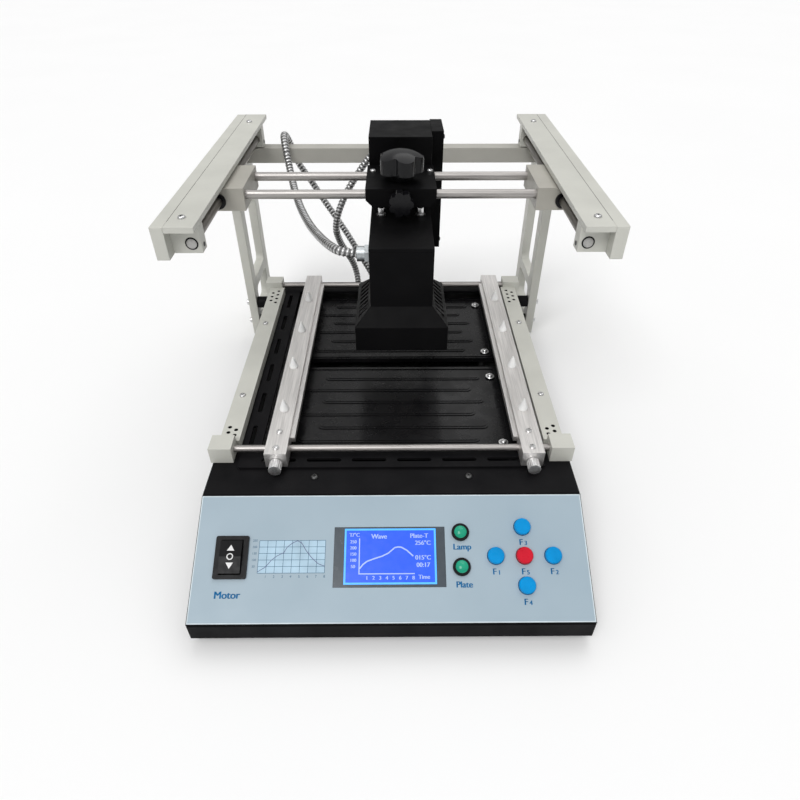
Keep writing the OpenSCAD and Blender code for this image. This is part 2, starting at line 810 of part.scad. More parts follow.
module rod_end_blocks() {
    color("#a1a5a7") both_sides() placed() for (y = end_block_ys) difference() {
        span([end_block_x0, y, end_block_z0], [frame_x0, y + end_block_d, arm_top - cover_t]);
        translate([y_rod_x, y - 1, y_rod_z]) rotate([-90, 0, 0])
            cylinder(d = rod_d + 2 * run_gap, h = end_block_d + 2);
    }
}

module y_rods() {
    color("#cfd1d3") both_sides() placed() translate([y_rod_x, end_block_ys[0] + 0.5, y_rod_z]) rotate([-90, 0, 0])
        cylinder(d = rod_d, h = end_block_ys[1] + end_block_d - end_block_ys[0] - 1);
}

// Y carriage: a bored block on the Y rod, with a socket for each X rod
module y_carriages() {
    color("#9a9ea0") both_sides() placed() difference() {
        span([carriage_x0, carriage_y, carriage_z0], [carriage_x1, carriage_y + carriage_l, carriage_z1]);
        translate([y_rod_x, carriage_y - 1, y_rod_z]) rotate([-90, 0, 0]) cylinder(d = bush_d, h = carriage_l + 2);
        for (y = x_rod_y) translate([carriage_x0 - 1, y, x_rod_z]) rotate([0, 90, 0])
            cylinder(d = rod_d + 2 * run_gap, h = x_rod_end - carriage_x0 + 1.2);
    }
}

module carriage_bushes() {
    color("#19191a") both_sides() placed() translate([y_rod_x, carriage_y - bush_proud, y_rod_z]) rotate([-90, 0, 0])
        difference() {
            cylinder(d = bush_d, h = carriage_l + 2 * bush_proud);
            translate([0, 0, -1]) cylinder(d = rod_d + 2 * run_gap, h = carriage_l + 2 * bush_proud + 2);
        }
}

module x_rods() {
    color("#cfd1d3") placed() for (y = x_rod_y) translate([0, y, x_rod_z]) rotate([0, 90, 0])
        cylinder(d = rod_d, h = 2 * x_rod_end, center = true);
}

// Block on the X rods, with cut lower corners
module x_carriage() {
    h = slider_w / 2;
    color("#1a1a1c") placed() translate([head_x, 0, 0]) difference() {
        translate([0, slider_y1, 0]) rotate([90, 0, 0]) linear_extrude(slider_y1 - slider_y0) polygon([
            [-h, slider_z1], [h, slider_z1], [h, slider_z0 + slider_cut], [h - slider_cut, slider_z0],
            [slider_cut - h, slider_z0], [-h, slider_z0 + slider_cut]
        ]);
        for (y = x_rod_y) translate([0, y, x_rod_z]) rotate([0, 90, 0])
            cylinder(d = rod_d + 2 * run_gap, h = 2 * slider_w, center = true);
        translate([0, big_knob_y, slider_z0 + 5]) cylinder(d = screw_d + 2 * run_gap, h = 20);
        translate([0, slider_y0 - 1, x_rod_z - 1]) rotate([-90, 0, 0])
            cylinder(d = star_shank_d + 2 * run_gap, h = x_rod_y[0] - slider_y0);
    }
}

// Sheet box for the lift motor, with holes in its floor for the screw and the guide bushes
module motor_box() {
    h = motor_w / 2;
    color("#1b1b1c") placed() translate([head_x, 0, 0]) difference() {
        span([-h, motor_y0, slider_z0], [h, motor_y1, motor_top]);
        span([-h + motor_wall, motor_y0 + motor_wall, slider_z0 + motor_floor],
             [h - motor_wall, motor_y1 - motor_wall, motor_top - motor_wall]);
        translate([0, lift_y, slider_z0 - 1]) cylinder(d = screw_d + 4, h = motor_floor + 2);
        for (x = [-1, 1]) translate([x * guide_x, lift_y, slider_z0 - 1])
            cylinder(d = guide_d + 5, h = motor_floor + 2);
        translate([0, motor_y1 + 1, motor_gland_z]) rotate([90, 0, 0]) cylinder(d = gland_hole, h = motor_wall + 2);
    }
}

module lift_motor() {
    color("#6d7073") placed() translate([head_x, lift_y, 0]) {
        translate([0, 0, lift_motor_z]) cylinder(d = lift_motor_d, h = motor_top - motor_wall - lift_motor_z);
        // Mounting ears to the front and rear walls
        span([-lift_ear, motor_y0 + motor_wall - lift_y, lift_motor_z],
             [lift_ear, motor_y1 - motor_wall - lift_y, lift_motor_z + 3]);
    }
}

module lift_cover() {
    color("#1d1d1f") placed() translate([head_x + motor_w / 2, 0, 0])
        span([0, lift_cover_y1 - lift_cover_l, motor_top - lift_cover_h], [lift_cover_t, lift_cover_y1, motor_top]);
}

module guide_bushes() {
    color("#b08d4a") placed() for (x = [-1, 1]) translate([head_x + x * guide_x, lift_y, slider_z0]) difference() {
        union() {
            cylinder(d = guide_d + 5, h = bush_h);
            translate([0, 0, motor_floor]) cylinder(d = guide_d + 8, h = 2);
        }
        translate([0, 0, -1]) cylinder(d = guide_d + 2 * run_gap, h = bush_h + 2);
    }
}

// Gland: hexagon nut, round neck and a bore that takes the conduit's end
module gland() {
    difference() {
        union() {
            cylinder(d = gland_hex, h = 5, $fn = 6);
            cylinder(d = gland_neck, h = gland_l);
        }
        translate([0, 0, gland_l - 4]) cylinder(d = conduit_d + 8 * run_gap, h = 5);
    }
}

module motor_gland() {
    color("#b4b6b8") placed() translate([head_x, motor_y1, motor_gland_z]) rotate([-90, 0, 0]) gland();
}

module lamp_gland() {
    color("#b4b6b8") placed() translate([head_x - lamp_w / 2, gland_y, gland_z]) rotate([0, -90, 0]) gland();
}

module rear_glands() {
    color("#b4b6b8") placed() for (x = conduit_gland_x) translate([x, base_d, conduit_gland_z])
        rotate([-90, 0, 0]) gland();
}

// Lobed hand knob with a domed top, on a hub and a screw that runs into the carriage
module big_knob() {
    color("#1a1a1a") placed() translate([head_x, big_knob_y, slider_z1]) {
        translate([0, 0, slider_z0 + 5 - slider_z1 + pass_gap]) cylinder(d = screw_d, h = slider_z1 - slider_z0);
        translate([0, 0, pass_gap]) cylinder(d = 18, h = big_knob_hub);
        translate([0, 0, big_knob_hub]) intersection() {
            linear_extrude(big_knob_h) lobed_2d(knob_d, 5, knob_d * 0.42);
            translate([0, 0, big_knob_h - knob_d * 0.95]) sphere(d = knob_d * 1.9, $fn = 72);
        }
    }
}

module star_knob() {
    color("#1a1a1a") placed() translate([head_x, slider_y0 - pass_gap, x_rod_z - 1]) rotate([90, 0, 0]) {
        translate([0, 0, -(x_rod_y[0] - rod_d / 2 - slider_y0 - pass_gap)])
            cylinder(d = star_shank_d, h = x_rod_y[0] - rod_d / 2 - slider_y0);
        cylinder(d = 11, h = 5);
        translate([0, 0, 4]) linear_extrude(star_len - 4) lobed_2d(star_d, 7, star_d * 0.34);
    }
}

module lift_screw() {
    color("#bfc1c3") placed() translate([head_x, lift_y, screw_z0])
        cylinder(d = screw_d, h = lift_motor_z - pass_gap - screw_z0);
}

// Stepped outline of the hood, pulled in by a wall, from its lower edge up
module hood_2d(wall, low, high) {
    s = skirt_w / 2 - wall;
    u = lamp_w / 2 - wall;
    polygon([[-s, low], [s, low], [s, skirt_top], [u, slope_top], [u, high], [-u, high], [-u, slope_top], [-s, skirt_top]]);
}

// Square stepped body, sloped on all four sides
module hood_body(wall, low, high) {
    intersection() {
        rotate([90, 0, 0]) linear_extrude(2 * skirt_w, center = true) hood_2d(wall, low, high);
        rotate([90, 0, 90]) linear_extrude(2 * skirt_w, center = true) hood_2d(wall, low, high);
    }
}

// Lamp hood, open below, with louvres in its left and right sloped sides
module lamp_hood() {
    color("#1c1c1e") placed() translate([head_x, lamp_cy, 0]) difference() {
        hood_body(0, lamp_z, hood_top);
        hood_body(hood_wall, lamp_z - 1, hood_top - hood_wall);
        for (a = [90, 270], i = [0 : louvre_count - 1]) rotate(a)
            translate([(i - (louvre_count - 1) / 2) * louvre_pitch, (lamp_w + lamp_slope) / 2, (skirt_top + slope_top) / 2])
                rotate([45, 0, 0]) cube([3, 6, 0.8 * lamp_slope], center = true);
    }
}

// Plate over the hood that runs back under the carriage to the lift nut
module lamp_bracket() {
    h = lamp_w / 2;
    color("#1f1f21") placed() translate([head_x, 0, 0]) difference() {
        union() {
            span([-h, lamp_cy - h, hood_top], [h, bracket_y1, bracket_z]);
            translate([0, lift_y, hood_top - nut_h]) cylinder(d = nut_d, h = nut_h + bracket_t);
            for (x = [-1, 1]) translate([x * stud_at[0], lamp_cy + h + stud_at[1], bracket_z]) {
                cylinder(d = stud_flange, h = 0.8);
                cylinder(d = stud_d, h = stud_h);
            }
        }
        translate([0, lift_y, hood_top - nut_h - 1]) cylinder(d = screw_d + 2 * run_gap, h = nut_h + bracket_t + 2);
        for (x = [-1, 1]) translate([x * guide_x, lift_y, hood_top - 1])
            cylinder(d = guide_d, h = bracket_t + 2);
    }
}

module guide_rods() {
    color("#c9cbcd") placed() for (x = [-1, 1]) translate([head_x + x * guide_x, lift_y, hood_top])
        cylinder(d = guide_d, h = guide_top - hood_top);
}

// Ceramic infrared emitter on a stem from the hood's roof
module lamp_emitter() {
    color("#c9beb0") placed() translate([head_x, lamp_cy, emitter_z]) {
        linear_extrude(emitter_t) round_rect(emitter_w, emitter_w, 4);
        cylinder(d = stem_d, h = hood_top - hood_wall - emitter_z);
    }
}

module control_board() {
    color("#1f5e38") placed() translate(board_at) {
        cube(board_size);
        for (x = [board_post, board_size[0] - board_post], y = [board_post, board_size[1] - board_post])
            translate([x, y, foot_h + sheet - board_at[2]]) cylinder(d = 6, h = board_at[2] - foot_h - sheet);
        for (i = [0 : 3]) translate([(i + 0.6) * board_size[0] / 5, board_size[1] / 4, board_size[2]])
            cube([board_size[0] / 9, board_size[1] / 5, 5.4]);
    }
}

module transformer() {
    color("#5b5247") placed() translate(core_at) {
        cube(core_size);
        translate([-core_foot, core_size[1] / 3, 0]) cube([core_size[0] + 2 * core_foot, core_size[1] / 3, 2]);
    }
}

module mains_inlet() {
    color("#141414") placed() translate([inlet_x, base_d, inlet_z]) difference() {
        union() {
            rotate([-90, 0, 0]) linear_extrude(2.5) round_rect(inlet_w + 6, inlet_h + 6, 3);
            span([-inlet_w / 2 + 0.2, -14, -inlet_h / 2 + 0.2], [inlet_w / 2 - 0.2, 0, inlet_h / 2 - 0.2]);
        }
        span([-inlet_w / 2 + 3, -11, -inlet_h / 2 + 3], [inlet_w / 2 - 3, 4, inlet_h / 2 - 3]);
    }
}

// Route whose rear points follow the base's rear wall
function laid(route) = [for (i = [0 : len(route) - 1])
    route[i] + [0, (base_d - route_d) * min(1, i / route_follow), 0]];

// Tube swept along a route: one ring of points at each of the route's points
function unit(v) = v / norm(v);
function tangent(route, i) = unit(route[min(i + 1, len(route) - 1)] - route[max(i - 1, 0)]);
function ring(route, i, d) =
    let (t = tangent(route, i), u = unit(cross(t, [0.55, 0.5, -0.67])), w = cross(t, u))
    [for (k = [0 : conduit_sides - 1])
        let (a = k * 360 / conduit_sides) route[i] + (d / 2) * (cos(a) * u + sin(a) * w)];

module tube(route, d) {
    n = conduit_sides;
    last = len(route) - 1;
    polyhedron(
        points = [for (i = [0 : last]) each ring(route, i, d)],
        faces = concat(
            [[for (k = [0 : n - 1]) k]],
            [[for (k = [n - 1 : -1 : 0]) last * n + k]],
            [for (i = [0 : last - 1], k = [0 : n - 1])
                [i * n + k, (i + 1) * n + k, (i + 1) * n + (k + 1) % n, i * n + (k + 1) % n]]
        )
    );
}

module lamp_conduit() {
    color("#a9abad") placed() tube(laid(lamp_route), conduit_d);
}

module motor_conduit() {
    color("#a9abad") placed() tube(laid(motor_route), conduit_d);
}

base_tub();
base_cover();
rubber_feet();
front_panel();
panel_overlay();
display_module();
lamp_bezels();
indicator_lenses();
rocker_housing();
rocker();
key_f1();
key_f2();
key_f3();
key_f4();
key_f5();
key_board();
slot_frame();
heat_tray();
front_plate();
rear_plate();
left_rail();
right_rail();
rod_blocks();
clamp_rods();
left_bar();
left_cones();
left_thumb_screw();
right_bar();
right_cones();
right_thumb_screw();
left_side_frame();
right_side_frame();
frame_spacers();
back_beam();
rail_covers();
rod_end_blocks();
y_rods();
y_carriages();
carriage_bushes();
x_rods();
x_carriage();
motor_box();
lift_motor();
lift_cover();
guide_bushes();
motor_gland();
big_knob();
star_knob();
lift_screw();
lamp_hood();
lamp_bracket();
guide_rods();
lamp_emitter();
lamp_gland();
control_board();
transformer();
mains_inlet();
rear_glands();
lamp_conduit();
motor_conduit();
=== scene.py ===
"""Looks of an infrared rework station, built in the same frame as its CAD parts."""

import math

import bmesh
import bpy
from mathutils import Matrix, Vector


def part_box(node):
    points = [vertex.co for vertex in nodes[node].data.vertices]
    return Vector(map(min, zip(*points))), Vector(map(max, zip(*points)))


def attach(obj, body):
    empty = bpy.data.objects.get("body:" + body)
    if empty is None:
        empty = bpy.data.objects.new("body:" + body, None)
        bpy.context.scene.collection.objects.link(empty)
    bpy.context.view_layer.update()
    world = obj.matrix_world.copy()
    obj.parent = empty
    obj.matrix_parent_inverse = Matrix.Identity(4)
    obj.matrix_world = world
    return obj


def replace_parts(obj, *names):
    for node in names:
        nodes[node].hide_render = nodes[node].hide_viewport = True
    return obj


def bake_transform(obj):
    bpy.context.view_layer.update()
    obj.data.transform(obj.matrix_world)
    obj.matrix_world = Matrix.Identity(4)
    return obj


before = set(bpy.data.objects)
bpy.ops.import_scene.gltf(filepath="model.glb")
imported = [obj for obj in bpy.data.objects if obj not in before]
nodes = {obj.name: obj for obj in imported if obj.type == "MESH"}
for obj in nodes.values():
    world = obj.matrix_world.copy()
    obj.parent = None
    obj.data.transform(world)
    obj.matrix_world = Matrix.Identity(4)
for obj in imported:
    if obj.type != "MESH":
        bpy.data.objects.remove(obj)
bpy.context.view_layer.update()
scene = bpy.context.scene

# Places are in millimetres: X from the middle, Y from the front lip and Z from the bench

MM = 0.001
FRONT_Y = -257.0
LIP_Z = 25.0
PANEL_RUN, PANEL_RISE = 86.0, 44.0
PANEL_A = math.atan2(PANEL_RISE, PANEL_RUN)
OVERLAY_T = 0.6
PLATE_PAD_Z = 64.2
COVER_TOP_Z = 69
RAIL_TOP_Z = 78
BAR_TOP_Z = 86.8
BRACKET_TOP_Z = 211
CARRIAGE_TOP_Z = 239
ARM_TOP_Z = 245.5
ARM_FRONT_Y, ARM_REAR_Y = 202, 514
END_BLOCK_X, FRAME_INNER_X, FRAME_OUTER_X = 146, 169, 179
BLOCK_FRONT_Y, BLOCK_REAR_Y = 208, 481
Y_ROD_X, Y_ROD_Z = 153.5, 228
HOOD_SIDE_X = 36.5
LIFT_COVER_X = 51
MOTOR_BACK_Y = 412
UP, RIGHT, FRONT, BACK = (0, 0, 1), (1, 0, 0), (0, -1, 0), (0, 1, 0)


def spot(x, y, z):
    """A place as a point in the part's own metres."""
    return Vector((x, y + FRONT_Y, z)) * MM


def on_panel(x, s, h):
    """Matrix at X, s millimetres up the panel and h above its steel, with Z along the outward normal."""
    y = s * math.cos(PANEL_A) - h * math.sin(PANEL_A)
    z = LIP_Z + s * math.sin(PANEL_A) + h * math.cos(PANEL_A)
    return Matrix.Translation(spot(x, y, z)) @ Matrix.Rotation(PANEL_A, 4, "X")


def facing(point, normal):
    """Matrix at a point with Z along a normal."""
    return Matrix.Translation(point) @ Vector(normal).to_track_quat("Z", "Y").to_matrix().to_4x4()


def make(name, bm, material, body=None, smooth=None):
    """Turns a bmesh into a piece, which rides on a body if one is given."""
    mesh = bpy.data.meshes.new(name)
    bm.normal_update()
    bm.to_mesh(mesh)
    bm.free()
    mesh.materials.append(material)
    obj = bpy.data.objects.new(name, mesh)
    scene.collection.objects.link(obj)
    if smooth is not None:
        mesh.shade_smooth()
        mesh.set_sharp_from_angle(angle=math.radians(smooth))
    if body:
        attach(obj, body)
    return obj


# Materials

PATTERN_LOW, PATTERN_HIGH = 0.3, 0.7


class Shader:
    """A principled material whose pattern nodes are added one by one."""

    def __init__(self, name, colour, rough, metal=0.0, **sockets):
        self.material = bpy.data.materials.new(name)
        self.material.use_nodes = True
        self.tree = self.material.node_tree
        self.bsdf = self.tree.nodes["Principled BSDF"]
        self.bsdf.inputs["Base Color"].default_value = (*colour, 1.0)
        self.bsdf.inputs["Roughness"].default_value = rough
        self.bsdf.inputs["Metallic"].default_value = metal
        for key, value in sockets.items():
            self.bsdf.inputs[key.replace("_", " ")].default_value = value

    def noise(self, scale, detail, stretch=(1, 1, 1)):
        """Noise in the piece's own coordinates, scale per metre, stretched along axes."""
        where = self.tree.nodes.new("ShaderNodeTexCoord")
        mapping = self.tree.nodes.new("ShaderNodeMapping")
        mapping.inputs["Scale"].default_value = stretch
        texture = self.tree.nodes.new("ShaderNodeTexNoise")
        texture.inputs["Scale"].default_value = scale
        texture.inputs["Detail"].default_value = detail
        self.tree.links.new(where.outputs["Object"], mapping.inputs["Vector"])
        self.tree.links.new(mapping.outputs["Vector"], texture.inputs["Vector"])
        return texture.outputs["Fac"]

    def tint(self, source, low, high, low_at=PATTERN_LOW, high_at=PATTERN_HIGH):
        """The base colour goes from low to high with a pattern."""
        node = self.tree.nodes.new("ShaderNodeValToRGB")
        node.color_ramp.elements[0].position = low_at
        node.color_ramp.elements[1].position = high_at
        node.color_ramp.elements[0].color = (*low, 1.0)
        node.color_ramp.elements[1].color = (*high, 1.0)
        self.tree.links.new(source, node.inputs["Fac"])
        self.tree.links.new(node.outputs["Color"], self.bsdf.inputs["Base Color"])

    def gloss(self, source, low, high):
        """The roughness goes from low to high with a pattern."""
        node = self.tree.nodes.new("ShaderNodeMapRange")
        node.inputs["From Min"].default_value = PATTERN_LOW
        node.inputs["From Max"].default_value = PATTERN_HIGH
        node.inputs["To Min"].default_value = low
        node.inputs["To Max"].default_value = high
        self.tree.links.new(source, node.inputs["Value"])
        self.tree.links.new(node.outputs["Result"], self.bsdf.inputs["Roughness"])

    def bump(self, source, strength, height):
        """A relief of a given height in metres."""
        node = self.tree.nodes.new("ShaderNodeBump")
        node.inputs["Strength"].default_value = strength
        node.inputs["Distance"].default_value = height
        self.tree.links.new(source, node.inputs["Height"])
        self.tree.links.new(node.outputs["Normal"], self.bsdf.inputs["Normal"])


def grey(tone):
    """A colour without hue."""
    return (tone, tone, tone)


def shaded(tone, hue):
    """A tone with a slight hue."""
    return tuple(tone * c for c in hue)


def scaled(colour, share):
    """A colour made darker or lighter, at most white."""
    return tuple(min(1.0, c * share) for c in colour)


def textured_black(name, tone, rough, grain, height, shine):
    """Black powder coat: fine grain, faint cloudy wear in colour and gloss."""
    s = Shader(name, shaded(tone, (1, 1, 1.12)), rough, Specular_IOR_Level=shine)
    s.tint(s.noise(28, detail=4), shaded(tone, (0.75, 0.75, 0.85)), shaded(tone, (1.35, 1.3, 1.4)))
    s.gloss(s.noise(60, detail=4), rough - 0.07, rough + 0.09)
    s.bump(s.noise(grain, detail=2), strength=0.5, height=height)
    return s.material


def grey_paint(name, colour):
    """Light grey stove enamel with an orange-peel surface and slight soiling."""
    s = Shader(name, colour, rough=0.42, Specular_IOR_Level=0.25)
    s.tint(s.noise(22, detail=5), scaled(colour, 0.9), scaled(colour, 1.05), low_at=0.25, high_at=0.75)
    s.gloss(s.noise(90, detail=3), 0.34, 0.5)
    s.bump(s.noise(650, detail=2), strength=0.35, height=0.00012)
    return s.material


def bare_metal(name, tone, rough, stretch=(1, 1, 1), grain=900, hue=(1, 1, 1)):
    """Bare metal: a grain in gloss, colour and relief, drawn out to streaks by a stretch."""
    colour = shaded(tone, hue)
    s = Shader(name, colour, rough, metal=1.0)
    streak = s.noise(grain, detail=3, stretch=stretch)
    s.tint(streak, scaled(colour, 0.82), scaled(colour, 1.08))
    s.gloss(streak, rough - 0.06, rough + 0.1)
    s.bump(streak, strength=0.18, height=0.00006)
    return s.material


def moulded(name, colour, rough, grain=1200, **sockets):
    """Moulded plastic with a faint grain and uneven gloss."""
    s = Shader(name, colour, rough, **sockets)
    s.tint(s.noise(70, detail=3), scaled(colour, 0.88), scaled(colour, 1.1))
    s.gloss(s.noise(240, detail=2), rough - 0.05, rough + 0.06)
    s.bump(s.noise(grain, detail=2), strength=0.2, height=0.00005)
    return s.material


def film(name, colour, low, high):
    """Printed plastic film with a satin surface, its colour between low and high."""
    s = Shader(name, colour, rough=0.36, Specular_IOR_Level=0.2)
    s.tint(s.noise(16, detail=4), low, high)
    s.gloss(s.noise(45, detail=3), 0.28, 0.42)
    s.bump(s.noise(1500, detail=2), strength=0.15, height=0.00005)
    return s.material


def key_plastic(name, colour):
    """Dyed plastic of the round keys."""
    return moulded(name, colour, rough=0.3, grain=900, Specular_IOR_Level=0.12)


def ink(name, colour):
    """Printing ink."""
    return moulded(name, colour, rough=0.4, grain=900, Specular_IOR_Level=0.12)


def lit(name, colour, glow, strength):
    """A surface of the display that glows by itself."""
    return moulded(name, colour, rough=0.2, grain=600, Emission_Color=(*glow, 1), Emission_Strength=strength)


ALONG_X, ALONG_Y, ALONG_Z = (0.04, 1, 1), (1, 0.04, 1), (1, 1, 0.04)
BRUSHED_Y, TURNED_Y = (1, 0.03, 1), (1, 0.2, 1)

powder_black = textured_black("powder_black", tone=0.008, rough=0.5, grain=900, height=0.00016, shine=0.05)
satin_black = textured_black("satin_black", tone=0.0035, rough=0.46, grain=1100, height=0.0001, shine=0.06)
enamel_black = textured_black("enamel_black", tone=0.007, rough=0.27, grain=300, height=0.0001, shine=0.24)
paint_grey = grey_paint("paint_grey", (0.59, 0.59, 0.54))
# The back beam wears a darker copy of the grey paint: the shade of its front face is painted into its colour.
paint_beam = grey_paint("paint_beam", (0.45, 0.44, 0.4))
# The y carriages wear a darker, browner copy of the grey paint: painted shade.
paint_grey_shaded = grey_paint("paint_grey_shaded", (0.42, 0.405, 0.36))

tray_steel = bare_metal("tray_steel", tone=0.13, rough=0.5, grain=120)
# The X rods' warm hue is a painted reflection of a warm room.
rod_x_steel = bare_metal("rod_x_steel", tone=0.46, rough=0.42, stretch=ALONG_X, hue=(1, 0.955, 0.92))
# The Y rods are the same steel as the X rods, made darker and browner: the warm shade under the rail covers
# is painted into their colour.
rod_y_steel_shaded = bare_metal("rod_y_steel_shaded", tone=0.27, rough=0.4, stretch=ALONG_Y, hue=(1, 0.94, 0.87))
rod_z_steel = bare_metal("rod_z_steel", tone=0.74, rough=0.22, stretch=ALONG_Z)
# The faint warm hue of the rod ends is a painted reflection of a warm room.
rod_end_steel = bare_metal("rod_end_steel", tone=0.5, rough=0.5, grain=500, hue=(1, 0.99, 0.96))
# The bars' warm hue is a painted reflection of a warm room.
bar_metal = bare_metal(
    "bar_metal", tone=0.78, rough=0.44, stretch=BRUSHED_Y, grain=1100, hue=(1, 0.975, 0.955),
)
thumb_metal = bare_metal("thumb_metal", tone=0.8, rough=0.36, stretch=TURNED_Y, grain=700)
conduit_metal = bare_metal("conduit_metal", tone=0.62, rough=0.34, grain=500)
# The dark groove metal is painted shade in the conduit's grooves.
conduit_groove_shade = bare_metal("conduit_groove_shade", tone=0.2, rough=0.5, grain=500)
gland_metal = bare_metal("gland_metal", tone=0.62, rough=0.42, grain=420, hue=(0.95, 1, 1.02))
screw_metal = bare_metal("screw_metal", tone=0.72, rough=0.28, grain=800)
screw_dark = bare_metal("screw_dark", tone=0.12, rough=0.4, grain=700)
bronze = bare_metal("bronze", tone=0.5, rough=0.35, grain=400, hue=(1, 1, 0.6))

# The cones are bare metal; their near-white non-metal colour stands in for the metal's shine: painted sheen.
cone_painted_sheen = moulded("cone_painted_sheen", (0.9, 0.9, 0.89), rough=0.34, grain=700, Specular_IOR_Level=0.4)
knob_black = moulded("knob_black", (0.005, 0.005, 0.006), rough=0.19, grain=700, Specular_IOR_Level=0.22)
plastic_black = moulded("plastic_black", (0.007, 0.007, 0.008), rough=0.36, Specular_IOR_Level=0.14)
rubber_black = moulded("rubber_black", grey(0.014), rough=0.75, grain=500)
# A dark brown for the seams: painted shade.
seam_shade = moulded("seam_shade", (0.06, 0.055, 0.05), rough=0.6, grain=900, Specular_IOR_Level=0.1)
lens_green = moulded("lens_green", (0.01, 0.34, 0.2), rough=0.16, grain=300, Specular_IOR_Level=0.4)
board_green = moulded("board_green", (0.02, 0.11, 0.05), rough=0.45, grain=400)
iron_brown = moulded("iron_brown", (0.1, 0.08, 0.06), rough=0.55, grain=300)
ceramic = moulded("ceramic", (0.55, 0.5, 0.43), rough=0.6, grain=260)
display_rim = moulded("display_rim", (0.05, 0.065, 0.08), rough=0.22, grain=600)

key_blue = key_plastic("key_blue", (0.001, 0.27, 0.64))
key_red = key_plastic("key_red", (0.6, 0.012, 0.03))
overlay_film = film("overlay_film", (0.35, 0.44, 0.51), low=(0.34, 0.43, 0.495), high=(0.37, 0.46, 0.525))
print_blue = ink("print_blue", (0.004, 0.14, 0.34))
print_line = ink("print_line", (0.045, 0.115, 0.2))
print_cell = ink("print_cell", (0.42, 0.58, 0.7))
print_curve = ink("print_curve", (0.09, 0.08, 0.2))
print_pale = ink("print_pale", (0.62, 0.7, 0.74))
print_white = ink("print_white", grey(0.75))
display_blue = lit("display_blue", (0.02, 0.06, 0.3), glow=(0.004, 0.072, 0.76), strength=0.9)
display_cyan = lit("display_cyan", (0.1, 0.3, 0.5), glow=(0.012, 0.3, 1), strength=0.95)
display_white = lit("display_white", (0.2, 0.25, 0.4), glow=(0.32, 0.42, 1), strength=0.8)

NODE_LOOKS = {
    powder_black: ["base_tub", "base_cover", "front_panel", "slot_frame", "frame_spacers"],
    satin_black: ["x_carriage", "motor_box", "lift_cover", "lamp_hood", "lamp_bracket"],
    enamel_black: ["front_plate", "rear_plate"],
    tray_steel: ["heat_tray", "lift_motor"],
    paint_grey: [
        "left_rail", "right_rail", "rod_blocks", "rail_covers", "rod_end_blocks",
        "left_side_frame", "right_side_frame",
    ],
    paint_grey_shaded: ["y_carriages"],
    paint_beam: ["back_beam"],
    rod_x_steel: ["clamp_rods", "x_rods"],
    rod_y_steel_shaded: ["y_rods"],
    rod_z_steel: ["guide_rods", "lift_screw"],
    bar_metal: ["left_bar", "right_bar"],
    cone_painted_sheen: ["left_cones", "right_cones"],
    thumb_metal: ["left_thumb_screw", "right_thumb_screw"],
    gland_metal: ["motor_gland", "lamp_gland", "rear_glands"],
    knob_black: ["big_knob", "star_knob"],
    plastic_black: ["lamp_bezels", "rocker_housing", "rocker", "carriage_bushes", "mains_inlet"],
    rubber_black: ["rubber_feet"],
    key_blue: ["key_f1", "key_f2", "key_f3", "key_f4"],
    key_red: ["key_f5"],
    lens_green: ["indicator_lenses"],
    board_green: ["key_board", "control_board"],
    iron_brown: ["transformer"],
    bronze: ["guide_bushes"],
    ceramic: ["lamp_emitter"],
    overlay_film: ["panel_overlay"],
    display_rim: ["display_module"],
}
for look, names in NODE_LOOKS.items():
    for name in names:
        nodes[name].data.materials.clear()
        nodes[name].data.materials.append(look)

# Camera, matched to the photograph

CAMERA_AT = (4.58, -228.47, 423.83)
CAMERA_DOWN, CAMERA_TURN = 39.36, -0.39

camera = bpy.data.objects.new("camera", bpy.data.cameras.new("camera"))
scene.collection.objects.link(camera)
camera.location = spot(*CAMERA_AT)
camera.rotation_euler = (math.radians(90 - CAMERA_DOWN), 0, math.radians(CAMERA_TURN))
camera.data.sensor_width = 36
camera.data.lens = 26.55
camera.data.clip_start = 0.01
scene.camera = camera

# Conduits: ribbed metal tubes in stretches that each span one joint at most; a stretch across a joint stays
# fixed where it is drawn

CONDUIT_D = 8.5
CONDUIT_SIDES = 14
RING_STEP = 1.0
RIB_DEPTHS = (0.0, 0.4, 1.0, 0.4)
SHADED_GROOVE_ROWS = (1, 2)
CURVE_STEPS = 40
ACROSS = Vector((0.55, 0.5, -0.67)).normalized()
LAMP_ROUTE = [
    (-30.5, 261.5, 191), (-46, 265, 192), (-58, 282, 190.5), (-69, 306, 188), (-79, 331, 186),
    (-88, 356, 186), (-96, 381, 187), (-103, 405, 190), (-109, 428, 195), (-114, 447, 204),
    (-118, 461, 216), (-121, 473, 225.5), (-123, 485, 229.5), (-123, 496, 226.5), (-121, 504, 217.5),
    (-118, 508, 205), (-113, 509, 191), (-104, 508, 177), (-95, 506, 163), (-86, 503, 149),
    (-72, 498, 129), (-60, 494, 111), (-50, 490, 95), (-40, 487, 78), (-30, 483, 61),
    (-21, 475, 45), (-16, 464, 34), (-15, 450, 30),
]
MOTOR_ROUTE = [
    (9, 424, 246), (8, 436, 245), (3, 446, 240), (-6, 451, 232), (-17, 452, 223), (-28, 451, 212),
    (-39, 448, 198), (-50, 445, 182), (-59, 443, 165), (-65, 444, 148), (-67, 449, 131), (-64, 459, 112),
    (-58, 469, 94), (-52, 478, 77), (-48, 481, 61), (-46, 477, 47), (-45, 468, 37), (-45, 450, 30),
]


